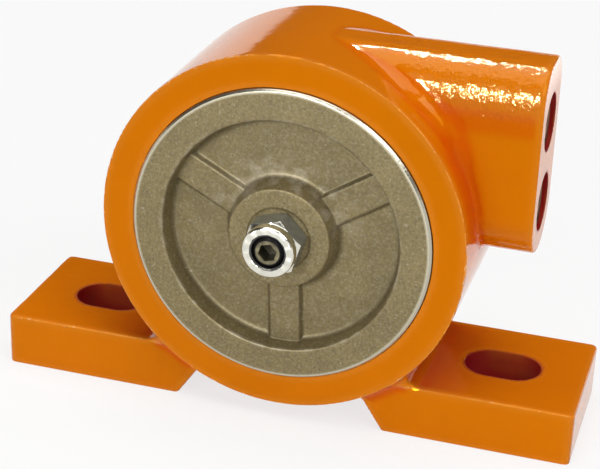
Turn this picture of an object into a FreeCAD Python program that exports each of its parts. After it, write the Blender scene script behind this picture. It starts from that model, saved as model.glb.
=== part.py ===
import FreeCAD, Part
import math
import os
from types import SimpleNamespace

import Sketcher
from FreeCAD import Placement, Rotation, Vector

# Pneumatic turbine vibrator on two slotted feet, in millimetres.
# The origin is on the mounting plane, midway between the slots. +X points to the air ports,
# the front cover faces -Y, and +Z is up.

SIZES = {
    # Housing: barrel and feet
    "barrel_radius": 44.45,
    "barrel_clearance": 4.15,
    "front_step": 3.05,
    "barrel_front_round": 0.6,
    "barrel_back_round": 1.2,
    "foot_length": 144.4,
    "foot_height": 13.3,
    "foot_depth": 38.1,
    "foot_gap": 52.6,
    "foot_root": 9.0,
    "foot_top_fillet": 3.5,
    "foot_inner_fillet": 2.5,
    "foot_corner_round": 1.5,
    "slot_spacing": 103.2,
    "slot_width": 13.0,
    "slot_length": 18.7,
    # Housing: port boss
    "boss_reach": 57.2,
    "boss_depth": 23.0,
    "boss_drop": 0.35,
    "boss_hang": 2.8,
    "boss_top_flat": 5.4,
    "boss_bottom_round": 11.0,
    "boss_fillet": 2.5,
    "boss_edge_round": 0.6,
    "inlet_rise": 29.2,
    "exhaust_rise": 9.4,
    "port_radius": 6.86,
    "port_depth": 14.0,
    "port_chamfer": 0.5,
    "seat_chamfer": 0.3,
    "seat_shoulder": 2.05,
    "jet_radius": 2.0,
    "exhaust_radius": 5.0,
    # Covers
    "cover_radius": 36.5,
    "cover_fit": 0.15,
    "cover_proud": 0.85,
    "cover_chamfer": 0.5,
    "web_radius": 29.0,
    "web_depth": 5.0,
    "web_draft": 0.8,
    "web_fillet": 1.2,
    "hub_radius": 12.3,
    "hub_proud": 0.15,
    "hub_draft": 1.5,
    "rib_width": 7.2,
    "rib_rise": 1.2,
    "rib_turn": 32.5,
    "rib_count": 3,
    "spot_radius": 7.9,
    "spot_depth": 0.25,
    "seal_radius": 1.1,
    "seal_fit": 0.02,
    "seal_play": 0.3,
    # Stud, sleeve and nuts
    "stud_radius": 3.97,
    "thread_fit": 0.05,
    "stud_chamfer": 0.85,
    "stud_recess": 0.25,
    "socket_flats": 3.97,
    "socket_depth": 4.0,
    "sleeve_radius": 6.0,
    "sleeve_seat": 4.2,
    "press_fit": 0.01,
    "nut_flats": 12.7,
    "nut_height": 8.73,
    "nut_turn": 14.0,
    "hexagon_height": 6.3,
    "hexagon_chamfer": 0.9,
    "collar_step": 0.05,
    "collar_wall": 0.8,
    "collar_lip": 0.5,
    "collar_gap": 0.75,
    # Bearings
    "bearing_radius": 14.0,
    "bearing_width": 8.0,
    "bearing_spacing": 2.0,
    "ball_radius": 2.38,
    "ball_count": 8,
    "ball_fit": 0.05,
    "inner_ring_radius": 8.45,
    "outer_ring_bore": 11.55,
    "ring_step": 0.5,
    "cage_wall": 1.8,
    "cage_rim": 0.3,
    "shield_thickness": 0.4,
    "shield_inset": 0.3,
    "shield_gap": 0.25,
    "snap_width": 1.2,
    "snap_radial": 2.0,
    "snap_bite": 0.6,
    "snap_lip": 0.7,
    "snap_angle": 325.0,
    # Rotor
    "rotor_rim_gap": 0.6,
    "rotor_side_gap": 0.5,
    "rotor_shoulder": 2.0,
    "pocket_count": 24,
    "pocket_width": 12.0,
    "pocket_length": 6.4,
    "pocket_depth": 4.0,
    "weight_wall": 2.3,
    "weight_step": 42.0,
    "weight_count": 3,
}

# Points of sketch geometry, and the sketch's own origin
START = 1
END = 2
CENTRE = 3
ORIGIN = -1
# Extra reach of a cut beyond the surface that it opens
OVERRUN = 1.0
# Slack when an edge is recognised by its place
NEAR = 0.01
HEXAGON = 6
# Angles of the lowest and highest point of a circle, from +X, in degrees
LOWEST = -90
HIGHEST = 90
ALONG = Vector(0, 1, 0)
UP = Vector(0, 0, 1)


class Size:
    """A length taken from the sheet: the formula that a feature is bound to, and its present value."""

    def __init__(self, formula, value):
        self.formula = formula
        self.value = value

    def __add__(self, other):
        return Size(f"({self.formula} + {formula_of(other)})", self.value + value_of(other))

    def __sub__(self, other):
        return Size(f"({self.formula} - {formula_of(other)})", self.value - value_of(other))

    def __rsub__(self, other):
        return Size(f"({formula_of(other)} - {self.formula})", value_of(other) - self.value)

    def __mul__(self, factor):
        return Size(f"({self.formula} * {formula_of(factor)})", self.value * value_of(factor))

    def __truediv__(self, divisor):
        return Size(f"({self.formula} / {formula_of(divisor)})", self.value / value_of(divisor))

    def __neg__(self):
        return Size(f"(-{self.formula})", -self.value)


def value_of(length):
    return length.value if isinstance(length, Size) else length


def formula_of(length):
    return length.formula if isinstance(length, Size) else str(length)


def corner_radius(flats):
    """Radius of a hexagon's corners, from the distance across its flats."""
    return flats / math.sqrt(3)


def fill_sheet(doc):
    """Puts every size into the sheet and returns them by name."""
    sheet = doc.addObject("Spreadsheet::Sheet", "Sizes")
    for row, (name, value) in enumerate(SIZES.items(), start=1):
        sheet.set(f"A{row}", name)
        sheet.set(f"B{row}", str(value))
        sheet.setAlias(f"B{row}", name)
    doc.recompute()
    return SimpleNamespace(**{name: Size(f"Sizes.{name}", value) for name, value in SIZES.items()})


doc = FreeCAD.newDocument("pneumatic_vibrator")
size = fill_sheet(doc)

centre_height = size.barrel_radius + size.barrel_clearance

# Places along the axis, measured from the middle of the barrel
barrel_half = (size.foot_depth + size.front_step) / 2
bearing_middle = (size.bearing_spacing + size.bearing_width) / 2
bearing_face = size.bearing_spacing / 2 + size.bearing_width
snap_face = bearing_face + size.snap_width
rotor_half = snap_face + size.snap_lip
chamber_half = rotor_half + size.rotor_side_gap
rim_face = barrel_half + size.cover_proud
hub_face = rim_face + size.hub_proud
web_floor = rim_face - size.web_depth
nut_seat = hub_face - size.spot_depth
nut_end = nut_seat + size.nut_height
hexagon_end = nut_seat + size.hexagon_height
stud_end = nut_end - size.stud_recess
insert_end = nut_end - size.collar_lip
sleeve_end = bearing_face + size.sleeve_seat
seal_place = (chamber_half + barrel_half) / 2

# Radii that follow from what fits inside
seat_radius = size.cover_radius + size.cover_fit
chamber_radius = seat_radius - size.seat_shoulder
rotor_radius = chamber_radius - size.rotor_rim_gap
pocket_floor = rotor_radius - size.pocket_depth
seal_circle = seat_radius - size.seal_radius - size.seal_fit
pitch_radius = (size.inner_ring_radius + size.outer_ring_bore) / 2
race_radius = size.ball_radius + size.ball_fit
stud_hole = size.stud_radius + size.thread_fit
ring_hole = size.sleeve_radius + size.press_fit
shoulder_radius = size.inner_ring_radius - size.ring_step
collar_radius = size.nut_flats / 2 - size.collar_step
insert_seat = collar_radius - size.collar_wall
snap_groove = size.bearing_radius + size.snap_bite
weight_circle = (snap_groove + pocket_floor) / 2
weight_radius = (pocket_floor - snap_groove) / 2 - size.weight_wall
weight_spread = size.weight_step * (size.weight_count - 1)


def bind(item, **properties):
    """Ties properties of a feature to sizes of the sheet."""
    for name, length in properties.items():
        item.setExpression(name, formula_of(length))


def new_body(label, side="front"):
    """A body whose own origin is on the shaft's axis, at the middle of the barrel.

    It is modelled as the front one of its kind, with its outer side towards -Y, and is turned
    half round where it belongs to the rear side.
    """
    body = doc.addObject("PartDesign::Body", label)
    body.Label = label
    if side == "rear":
        body.Placement = Placement(Vector(0, 0, 0), Rotation(Vector(0, 0, 1), 180))
    body.setExpression("Placement.Base.y", formula_of(-size.front_step / 2))
    body.setExpression("Placement.Base.z", formula_of(centre_height))
    return body


def origin_feature(body, role):
    return next(item for item in body.Origin.OriginFeatures if item.Role == role)


def attach(item, body, plane, offset=None, turn=None):
    """Puts a sketch or primitive on an origin plane, moved along its normal and turned about it."""
    item.AttachmentSupport = (origin_feature(body, plane), [""])
    item.MapMode = "FlatFace"
    if turn is not None:
        item.AttachmentOffset = Placement(Vector(0, 0, 0), Rotation(Vector(0, 0, 1), value_of(turn)))
        item.setExpression("AttachmentOffset.Rotation.Angle", formula_of(turn))
    if offset is not None:
        item.setExpression("AttachmentOffset.Base.z", formula_of(offset))


def new_sketch(body, name, plane="XY_Plane", offset=None, turn=None):
    sketch = body.newObject("Sketcher::SketchObject", f"{body.Label}_{name}")
    attach(sketch, body, plane, offset, turn)
    return sketch


def hold(sketch, kind, geometry, point, length):
    """Fixes one coordinate of a point in a sketch."""
    constraint = Sketcher.Constraint(kind, ORIGIN, START, geometry, point, value_of(length))
    number = sketch.addConstraint(constraint)
    sketch.setExpression(f"Constraints[{number}]", formula_of(length))


def hold_radius(sketch, geometry, radius):
    number = sketch.addConstraint(Sketcher.Constraint("Radius", geometry, value_of(radius)))
    sketch.setExpression(f"Constraints[{number}]", formula_of(radius))


def spot(corner):
    return Vector(value_of(corner[0]), value_of(corner[1]), 0)


def draw_outline(sketch, *corners):
    """A closed outline of straight lines, with both coordinates of each corner fixed."""
    first = sketch.GeometryCount
    following = corners[1:] + corners[:1]
    for here, there in zip(corners, following):
        sketch.addGeometry(Part.LineSegment(spot(here), spot(there)))
    for index, (across, along) in enumerate(corners):
        line = first + index
        next_line = first + (index + 1) % len(corners)
        sketch.addConstraint(Sketcher.Constraint("Coincident", line, END, next_line, START))
        hold(sketch, "DistanceX", line, START, across)
        hold(sketch, "DistanceY", line, START, along)


def draw_circle(sketch, centre, radius):
    circle = sketch.addGeometry(Part.Circle(spot(centre), Vector(0, 0, 1), value_of(radius)))
    hold(sketch, "DistanceX", circle, CENTRE, centre[0])
    hold(sketch, "DistanceY", circle, CENTRE, centre[1])
    hold_radius(sketch, circle, radius)


def draw_rounded(sketch, corners, rounds):
    """A closed outline with a round at each corner, drawn anticlockwise from the lower left.

    The corners are those of an upright rectangle, given as the arcs' centres.
    """
    arcs = []
    for quarter, (centre, radius) in enumerate(zip(corners, rounds)):
        start = math.pi + quarter * math.pi / 2
        circle = Part.Circle(spot(centre), Vector(0, 0, 1), value_of(radius))
        arc = sketch.addGeometry(Part.ArcOfCircle(circle, start, start + math.pi / 2))
        arcs.append(arc)
    for index, arc in enumerate(arcs):
        following = arcs[(index + 1) % len(arcs)]
        geometry = sketch.Geometry
        line = sketch.addGeometry(Part.LineSegment(geometry[arc].EndPoint, geometry[following].StartPoint))
        sketch.addConstraint(Sketcher.Constraint("Tangent", arc, END, line, START))
        sketch.addConstraint(Sketcher.Constraint("Tangent", line, END, following, START))
    for arc, centre, radius in zip(arcs, corners, rounds):
        hold(sketch, "DistanceX", arc, CENTRE, centre[0])
        hold(sketch, "DistanceY", arc, CENTRE, centre[1])
        hold_radius(sketch, arc, radius)


def draw_slot(sketch, middle, length, width):
    """A slot with round ends along the sketch's first axis, with its middle on that axis."""
    radius = width / 2
    reach = (length - width) / 2
    left = Part.Circle(spot((middle - reach, 0)), Vector(0, 0, 1), radius.value)
    right = Part.Circle(spot((middle + reach, 0)), Vector(0, 0, 1), radius.value)
    left_end = sketch.addGeometry(Part.ArcOfCircle(left, math.pi / 2, 3 * math.pi / 2))
    right_end = sketch.addGeometry(Part.ArcOfCircle(right, -math.pi / 2, math.pi / 2))
    for arc, following in ((left_end, right_end), (right_end, left_end)):
        geometry = sketch.Geometry
        line = sketch.addGeometry(Part.LineSegment(geometry[arc].EndPoint, geometry[following].StartPoint))
        sketch.addConstraint(Sketcher.Constraint("Tangent", arc, END, line, START))
        sketch.addConstraint(Sketcher.Constraint("Tangent", line, END, following, START))
    for arc, centre in ((left_end, middle - reach), (right_end, middle + reach)):
        hold(sketch, "DistanceX", arc, CENTRE, centre)
        hold(sketch, "DistanceY", arc, CENTRE, 0)
    hold_radius(sketch, left_end, radius)
    sketch.addConstraint(Sketcher.Constraint("Equal", left_end, right_end))


def ring_profile(inner_radius, outer_radius, near, far):
    """Section of a plain ring on the front side, between two distances from the barrel's middle."""
    return [(inner_radius, -far), (outer_radius, -far), (outer_radius, -near), (inner_radius, -near)]


def turned(body, name, *profiles, cut=False, angle=None):
    """Adds or cuts a shape turned about the shaft's axis; a profile lists (radius, along the axis)."""
    sketch = new_sketch(body, name + "_profile")
    for profile in profiles:
        draw_outline(sketch, *profile)
    kind = "PartDesign::Groove" if cut else "PartDesign::Revolution"
    feature = body.newObject(kind, f"{body.Label}_{name}")
    feature.Profile = sketch
    feature.ReferenceAxis = (sketch, ["V_Axis"])
    feature.Angle = 360
    if angle is not None:
        bind(feature, Angle=angle)
    return feature


def extruded(body, name, sketch, length, cut=False):
    """Pads a sketch along its normal, or cuts it the other way, into the piece."""
    kind = "PartDesign::Pocket" if cut else "PartDesign::Pad"
    feature = body.newObject(kind, f"{body.Label}_{name}")
    feature.Profile = sketch
    bind(feature, Length=length)
    return feature


def around_axis(body, name, features, count, angle=None):
    """Repeats features about the shaft's axis, right round or over the given angle."""
    pattern = body.newObject("PartDesign::PolarPattern", f"{body.Label}_{name}")
    pattern.Originals = features
    pattern.Axis = (origin_feature(body, "Y_Axis"), [""])
    pattern.Angle = 360
    if angle is not None:
        bind(pattern, Angle=angle)
    bind(pattern, Occurrences=count)
    body.Tip = pattern
    return pattern


def edges_where(body, test):
    """Names of the edges of a body's present shape that pass a test."""
    doc.recompute()
    base = body.Tip
    names = [f"Edge{number}" for number, edge in enumerate(base.Shape.Edges, start=1) if test(edge)]
    if not names:
        raise RuntimeError(f"{body.Label}: no edge found to round")
    return base, names


def rounded(body, name, radius, test):
    edges = edges_where(body, test)
    fillet = body.newObject("PartDesign::Fillet", f"{body.Label}_{name}")
    fillet.Base = edges
    bind(fillet, Radius=radius)
    return fillet


def bevelled(body, name, width, test):
    edges = edges_where(body, test)
    chamfer = body.newObject("PartDesign::Chamfer", f"{body.Label}_{name}")
    chamfer.Base = edges
    bind(chamfer, Size=width)
    return chamfer


def close(first, second):
    return abs(first - value_of(second)) < NEAR


def middle_of(edge):
    return edge.valueAt((edge.FirstParameter + edge.LastParameter) / 2)


def is_circle(edge, radius, along):
    """Whether an edge is a circle round the shaft's axis, by its radius and place."""
    curve = edge.Curve
    if not isinstance(curve, Part.Circle):
        return False
    return close(curve.Radius, radius) and close(curve.Center.y, along) and close(curve.Center.x, 0)


def make_housing():
    body = new_body("housing")
    feet_middle = size.front_step / 2
    base = -centre_height
    foot_top = base + size.foot_height
    foot_inside = size.foot_gap / 2
    foot_outside = size.foot_length / 2

    turned(body, "barrel", [
        (0, -barrel_half),
        (size.barrel_radius, -barrel_half),
        (size.barrel_radius, barrel_half),
        (0, barrel_half),
    ])
    rounded(body, "front_edge", size.barrel_front_round, lambda edge: (
        is_circle(edge, size.barrel_radius, -barrel_half)))
    rounded(body, "back_edge", size.barrel_back_round, lambda edge: (
        is_circle(edge, size.barrel_radius, barrel_half)))

    feet = new_sketch(body, "feet_outline", "XZ_Plane", size.foot_depth / 2 - feet_middle)
    for side in (-1, 1):
        draw_outline(
            feet,
            (foot_inside * side, base),
            (foot_outside * side, base),
            (foot_outside * side, foot_top),
            ((foot_inside - size.foot_root) * side, foot_top),
        )
    extruded(body, "feet", feet, size.foot_depth).Reversed = True

    def on_barrel(edge):
        place = middle_of(edge)
        return close(math.hypot(place.x, place.z), size.barrel_radius)

    def runs(edge, direction):
        return isinstance(edge.Curve, Part.Line) and edge.Curve.Direction.isParallel(direction, NEAR)

    rounded(body, "feet_top_fillets", size.foot_top_fillet, lambda edge: (
        runs(edge, ALONG) and on_barrel(edge) and close(middle_of(edge).z, foot_top)))
    rounded(body, "feet_inner_fillets", size.foot_inner_fillet, lambda edge: (
        runs(edge, ALONG) and on_barrel(edge) and middle_of(edge).z < foot_top.value - NEAR))
    rounded(body, "feet_corners", size.foot_corner_round, lambda edge: (
        runs(edge, UP) and close(abs(middle_of(edge).x), foot_outside)))

    boss = new_sketch(body, "boss_outline", "YZ_Plane")
    boss_top = size.barrel_radius - size.boss_drop
    boss_bottom = -size.boss_hang
    boss_top_round = (size.boss_depth - size.boss_top_flat) / 2
    low_reach = size.boss_depth / 2 - size.boss_bottom_round
    top_reach = size.boss_top_flat / 2
    draw_rounded(
        boss,
        [
            (feet_middle - low_reach, boss_bottom + size.boss_bottom_round),
            (feet_middle + low_reach, boss_bottom + size.boss_bottom_round),
            (feet_middle + top_reach, boss_top - boss_top_round),
            (feet_middle - top_reach, boss_top - boss_top_round),
        ],
        [size.boss_bottom_round, size.boss_bottom_round, boss_top_round, boss_top_round],
    )
    extruded(body, "boss", boss, size.boss_reach)

    def at_boss_root(edge):
        place = middle_of(edge)
        beside = abs(place.y - feet_middle.value) < size.boss_depth.value / 2 + NEAR
        return on_barrel(edge) and beside and place.x > 0 and place.z > foot_top.value + NEAR

    rounded(body, "boss_fillet", size.boss_fillet, at_boss_root)
    rounded(body, "boss_end", size.boss_edge_round, lambda edge: close(middle_of(edge).x, size.boss_reach))

    mouth_radius = seat_radius + size.seat_chamfer
    mouth_depth = barrel_half - size.seat_chamfer
    turned(
        body,
        "bore",
        [
            (0, -barrel_half - OVERRUN),
            (mouth_radius, -barrel_half - OVERRUN),
            (mouth_radius, -barrel_half),
            (seat_radius, -mouth_depth),
            (seat_radius, -chamber_half),
            (chamber_radius, -chamber_half),
            (chamber_radius, chamber_half),
            (seat_radius, chamber_half),
            (seat_radius, mouth_depth),
            (mouth_radius, barrel_half),
            (mouth_radius, barrel_half + OVERRUN),
            (0, barrel_half + OVERRUN),
        ],
        cut=True,
    )

    slots = new_sketch(body, "slots_outline", "XY_Plane", foot_top)
    slots.setExpression("AttachmentOffset.Base.y", feet_middle.formula)
    for side in (-1, 1):
        draw_slot(slots, size.slot_spacing / 2 * side, size.slot_length, size.slot_width)
    extruded(body, "slots", slots, size.foot_height, cut=True)

    for name, rise, passage in (
        ("inlet", size.inlet_rise, size.jet_radius),
        ("exhaust", size.exhaust_rise, size.exhaust_radius),
    ):
        port = new_sketch(body, name + "_port_outline", "YZ_Plane", size.boss_reach)
        draw_circle(port, (feet_middle, rise), size.port_radius)
        extruded(body, name + "_port", port, size.port_depth, cut=True)
        drill = new_sketch(body, name + "_passage_outline", "YZ_Plane", size.boss_reach)
        draw_circle(drill, (feet_middle, rise), passage)
        extruded(body, name + "_passage", drill, size.boss_reach, cut=True)

    bevelled(body, "port_mouths", size.port_chamfer, lambda edge: (
        isinstance(edge.Curve, Part.Circle) and close(edge.Curve.Radius, size.port_radius)
        and close(edge.Curve.Center.x, size.boss_reach)))
    return body


def make_cover(side):
    body = new_body(f"{side}_cover", side)
    seal_near = seal_place - size.seal_radius - size.seal_play
    seal_far = seal_place + size.seal_radius + size.seal_play
    groove_radius = seal_circle - size.seal_radius - size.seal_fit
    sleeve_hole = size.sleeve_radius + size.press_fit
    floor_radius = size.web_radius - size.web_draft
    hub_foot = size.hub_radius + size.hub_draft

    turned(body, "disc", [
        (stud_hole, -sleeve_end),
        (sleeve_hole, -sleeve_end),
        (sleeve_hole, -bearing_face),
        (shoulder_radius, -bearing_face),
        (shoulder_radius, -chamber_half),
        (size.cover_radius, -chamber_half),
        (size.cover_radius, -seal_near),
        (groove_radius, -seal_near),
        (groove_radius, -seal_far),
        (size.cover_radius, -seal_far),
        (size.cover_radius, size.cover_chamfer - rim_face),
        (size.cover_radius - size.cover_chamfer, -rim_face),
        (size.web_radius, -rim_face),
        (floor_radius, -web_floor),
        (hub_foot, -web_floor),
        (size.hub_radius, -hub_face),
        (size.spot_radius, -hub_face),
        (size.spot_radius, -nut_seat),
        (stud_hole, -nut_seat),
    ])
    rounded(body, "web_fillets", size.web_fillet, lambda edge: (
        is_circle(edge, floor_radius, -web_floor) or is_circle(edge, hub_foot, -web_floor)))

    rib_outline = new_sketch(body, "rib_outline", "XZ_Plane", web_floor, size.rib_turn)
    draw_outline(
        rib_outline,
        (size.hub_radius, -size.rib_width / 2),
        (size.web_radius, -size.rib_width / 2),
        (size.web_radius, size.rib_width / 2),
        (size.hub_radius, size.rib_width / 2),
    )
    rib = extruded(body, "rib", rib_outline, size.rib_rise)
    around_axis(body, "ribs", [rib], size.rib_count)
    return body


def make_seal(side):
    body = new_body(f"{side}_cover_seal", side)
    ring = body.newObject("PartDesign::AdditiveTorus", f"{body.Label}_ring")
    attach(ring, body, "XZ_Plane", seal_place)
    bind(ring, Radius1=seal_circle, Radius2=size.seal_radius)
    return body


def make_stud():
    body = new_body("centre_stud")
    tip_radius = size.stud_radius - size.stud_chamfer
    turned(body, "rod", [
        (0, -stud_end),
        (tip_radius, -stud_end),
        (size.stud_radius, size.stud_chamfer - stud_end),
        (size.stud_radius, stud_end - size.stud_chamfer),
        (tip_radius, stud_end),
        (0, stud_end),
    ])
    socket = body.newObject("PartDesign::SubtractivePrism", "centre_stud_socket")
    socket.Polygon = HEXAGON
    attach(socket, body, "XZ_Plane", stud_end - size.socket_depth, size.nut_turn)
    bind(socket, Circumradius=corner_radius(size.socket_flats), Height=size.socket_depth)
    return body


def make_nut(side):
    body = new_body(f"{side}_lock_nut", side)
    flat = size.nut_flats / 2
    clear = corner_radius(size.nut_flats) + OVERRUN
    collar_mouth = size.stud_radius + size.collar_gap
    hexagon = body.newObject("PartDesign::AdditivePrism", f"{body.Label}_hexagon")
    hexagon.Polygon = HEXAGON
    attach(hexagon, body, "XZ_Plane", nut_seat, size.nut_turn)
    bind(hexagon, Circumradius=corner_radius(size.nut_flats), Height=size.hexagon_height)

    turned(body, "collar", [
        (insert_seat, -hexagon_end),
        (collar_radius, -hexagon_end),
        (collar_radius, -insert_end),
        (collar_radius - size.collar_lip, -nut_end),
        (collar_mouth, -nut_end),
        (collar_mouth, -insert_end),
        (insert_seat, -insert_end),
    ])
    turned(
        body,
        "bore",
        [
            (0, OVERRUN - nut_seat),
            (stud_hole, OVERRUN - nut_seat),
            (stud_hole, -hexagon_end - OVERRUN),
            (0, -hexagon_end - OVERRUN),
        ],
        cut=True,
    )
    turned(
        body,
        "corners",
        [
            (flat, -hexagon_end - OVERRUN),
            (clear, -hexagon_end - OVERRUN),
            (clear, size.hexagon_chamfer - hexagon_end),
            (flat, -hexagon_end),
        ],
        [
            (flat, OVERRUN - nut_seat),
            (clear, OVERRUN - nut_seat),
            (clear, -nut_seat - size.hexagon_chamfer),
            (flat, -nut_seat),
        ],
        cut=True,
    )
    return body


def make_nut_insert(side):
    body = new_body(f"{side}_nut_insert", side)
    turned(body, "ring", ring_profile(stud_hole, insert_seat - size.press_fit, hexagon_end, insert_end))
    return body


def make_sleeve():
    body = new_body("shaft_sleeve")
    turned(body, "tube", ring_profile(stud_hole, size.sleeve_radius, -sleeve_end, sleeve_end))
    return body


def make_spacer():
    body = new_body("inner_ring_spacer")
    half = size.bearing_spacing / 2
    turned(body, "tube", ring_profile(ring_hole, shoulder_radius, -half, half))
    return body


def make_bearing_ring(label, side, inner_radius, outer_radius):
    """One ring of a ball bearing, with the round groove that the balls run in."""
    body = new_body(f"{side}_{label}", side)
    turned(body, "ring", ring_profile(inner_radius, outer_radius, size.bearing_spacing / 2, bearing_face))
    race = body.newObject("PartDesign::SubtractiveTorus", f"{body.Label}_race")
    attach(race, body, "XZ_Plane", bearing_middle)
    bind(race, Radius1=pitch_radius, Radius2=race_radius)
    return body


def make_balls(side):
    body = new_body(f"{side}_bearing_balls", side)
    ball = body.newObject("PartDesign::AdditiveSphere", f"{body.Label}_ball")
    attach(ball, body, "XZ_Plane", bearing_middle)
    ball.setExpression("AttachmentOffset.Base.x", pitch_radius.formula)
    bind(ball, Radius=size.ball_radius)
    around_axis(body, "ring_of_balls", [ball], size.ball_count)
    return body


def make_cage(side):
    """A machined ring with a round pocket drilled through it for each ball."""
    body = new_body(f"{side}_bearing_cage", side)
    half_wall = size.cage_wall / 2
    half_width = race_radius + size.cage_rim
    turned(body, "ring", ring_profile(
        pitch_radius - half_wall,
        pitch_radius + half_wall,
        bearing_middle - half_width,
        bearing_middle + half_width,
    ))
    outline = new_sketch(body, "pocket_outline", "YZ_Plane", pitch_radius + size.cage_wall)
    draw_circle(outline, (-bearing_middle, 0), race_radius)
    pocket = extruded(body, "pocket", outline, size.cage_wall * 2, cut=True)
    around_axis(body, "pockets", [pocket], size.ball_count)
    return body


def make_shields(side):
    """The two thin discs that close a bearing, fixed in its outer ring."""
    body = new_body(f"{side}_bearing_shields", side)
    inner_radius = size.inner_ring_radius + size.shield_gap
    outer_radius = size.outer_ring_bore - size.press_fit
    near_face = size.bearing_spacing / 2 + size.shield_inset
    far_face = bearing_face - size.shield_inset
    turned(
        body,
        "discs",
        ring_profile(inner_radius, outer_radius, near_face, near_face + size.shield_thickness),
        ring_profile(inner_radius, outer_radius, far_face - size.shield_thickness, far_face),
    )
    return body


def make_snap_ring(side):
    body = new_body(f"{side}_snap_ring", side)
    outer_radius = snap_groove - size.press_fit
    profile = ring_profile(outer_radius - size.snap_radial, outer_radius, bearing_face, snap_face)
    turned(body, "ring", profile, angle=size.snap_angle)
    return body


def make_rotor():
    body = new_body("turbine_rotor")
    seat = size.bearing_radius + size.press_fit
    shoulder = size.bearing_radius - size.rotor_shoulder
    half_spacing = size.bearing_spacing / 2
    turned(body, "wheel", [
        (shoulder, -half_spacing),
        (seat, -half_spacing),
        (seat, -bearing_face),
        (snap_groove, -bearing_face),
        (snap_groove, -snap_face),
        (seat, -snap_face),
        (seat, -rotor_half),
        (rotor_radius, -rotor_half),
        (rotor_radius, rotor_half),
        (seat, rotor_half),
        (seat, snap_face),
        (snap_groove, snap_face),
        (snap_groove, bearing_face),
        (seat, bearing_face),
        (seat, half_spacing),
        (shoulder, half_spacing),
    ])

    half_pocket = size.pocket_length / 2
    pocket_outline = new_sketch(body, "pocket_outline", "XZ_Plane", size.pocket_width / 2)
    draw_outline(
        pocket_outline,
        (-half_pocket, pocket_floor),
        (half_pocket, rotor_radius),
        (half_pocket, rotor_radius + OVERRUN),
        (-half_pocket, rotor_radius + OVERRUN),
    )
    pocket = extruded(body, "pocket", pocket_outline, size.pocket_width, cut=True)
    around_axis(body, "pockets", [pocket], size.pocket_count)

    for name, start in (("weight_hole", LOWEST), ("light_hole", HIGHEST)):
        hole_outline = new_sketch(body, name + "_outline", "XZ_Plane", rotor_half, weight_spread / 2 + start)
        draw_circle(hole_outline, (weight_circle, 0), weight_radius)
        hole = extruded(body, name, hole_outline, rotor_half * 2, cut=True)
        around_axis(body, name + "s", [hole], size.weight_count, weight_spread)
    return body


def make_weights():
    """Steel slugs in the rotor's lower half, which throw it out of balance."""
    body = new_body("rotor_weights")
    outline = new_sketch(body, "slug_outline", "XZ_Plane", -rotor_half, weight_spread / 2 + LOWEST)
    draw_circle(outline, (weight_circle, 0), weight_radius - size.press_fit)
    slug = extruded(body, "slug", outline, rotor_half * 2)
    around_axis(body, "slugs", [slug], size.weight_count, weight_spread)
    return body


def make_pieces():
    pieces = [make_housing(), make_stud(), make_sleeve(), make_spacer(), make_rotor(), make_weights()]
    for side in ("front", "rear"):
        pieces += [
            make_cover(side),
            make_seal(side),
            make_nut(side),
            make_nut_insert(side),
            make_bearing_ring("inner_ring", side, ring_hole, size.inner_ring_radius),
            make_bearing_ring("outer_ring", side, size.outer_ring_bore, size.bearing_radius),
            make_balls(side),
            make_cage(side),
            make_shields(side),
            make_snap_ring(side),
        ]
    return pieces


def check(pieces):
    """Stops if any feature failed or any piece is not a sound solid."""
    doc.recompute()
    for item in doc.Objects:
        if "Invalid" in item.State or "Error" in item.State:
            raise RuntimeError(f"{item.Name} failed: {item.State}")
    for piece in pieces:
        shape = piece.Shape
        if shape.isNull() or not shape.isValid() or not shape.Solids:
            raise RuntimeError(f"{piece.Label} has no sound solid")


def write_steps(pieces):
    os.makedirs("parts", exist_ok=True)
    for piece in pieces:
        piece.Shape.exportStep(f"parts/{piece.Label}.step")


pieces = make_pieces()
check(pieces)
write_steps(pieces)
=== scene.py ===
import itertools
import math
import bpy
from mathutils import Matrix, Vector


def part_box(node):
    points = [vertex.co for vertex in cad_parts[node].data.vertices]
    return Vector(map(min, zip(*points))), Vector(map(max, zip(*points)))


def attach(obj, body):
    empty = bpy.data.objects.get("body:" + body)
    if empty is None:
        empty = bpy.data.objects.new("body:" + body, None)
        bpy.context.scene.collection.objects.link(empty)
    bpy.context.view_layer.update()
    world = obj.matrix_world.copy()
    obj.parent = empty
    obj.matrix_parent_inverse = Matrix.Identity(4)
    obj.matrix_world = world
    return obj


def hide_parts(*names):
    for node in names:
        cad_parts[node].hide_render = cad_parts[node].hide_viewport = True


bl_info = {
    "name": "Pneumatic Vibrator Dressing",
    "version": (1, 0, 0),
    "blender": (4, 5, 0),
    "location": "3D View > Sidebar > Vibrator",
    "description": "Dresses the CAD frame of a pneumatic vibrator with cast, turned and plated pieces",
    "category": "Object",
}

from types import SimpleNamespace

import bpy
import numpy as np
from bpy.props import FloatProperty, FloatVectorProperty, IntProperty, PointerProperty
from mathutils import Matrix, Vector

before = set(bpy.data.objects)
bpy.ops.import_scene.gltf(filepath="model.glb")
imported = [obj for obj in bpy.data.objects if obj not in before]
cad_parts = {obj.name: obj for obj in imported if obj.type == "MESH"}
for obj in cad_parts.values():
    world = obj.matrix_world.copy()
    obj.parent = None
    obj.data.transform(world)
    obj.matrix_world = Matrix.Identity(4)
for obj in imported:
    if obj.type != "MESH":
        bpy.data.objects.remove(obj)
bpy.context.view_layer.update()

MM = 0.001
SIDES = ("front", "rear")


# Kinds of setting, each given by its name, its description and its default


def length(name, description, metres):
    return FloatProperty(name=name, description=description, default=metres, unit="LENGTH", precision=5)


def rotation(name, description, degrees):
    turn = math.radians(degrees)
    return FloatProperty(name=name, description=description, default=turn, subtype="ANGLE")


def count(name, description, number, least=1):
    return IntProperty(name=name, description=description, default=number, min=least)


def wattage(name, description, watts):
    return FloatProperty(name=name, description=description, default=watts, unit="POWER")


def share(name, description, part):
    return FloatProperty(name=name, description=description, default=part, min=0, max=1, subtype="FACTOR")


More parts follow.
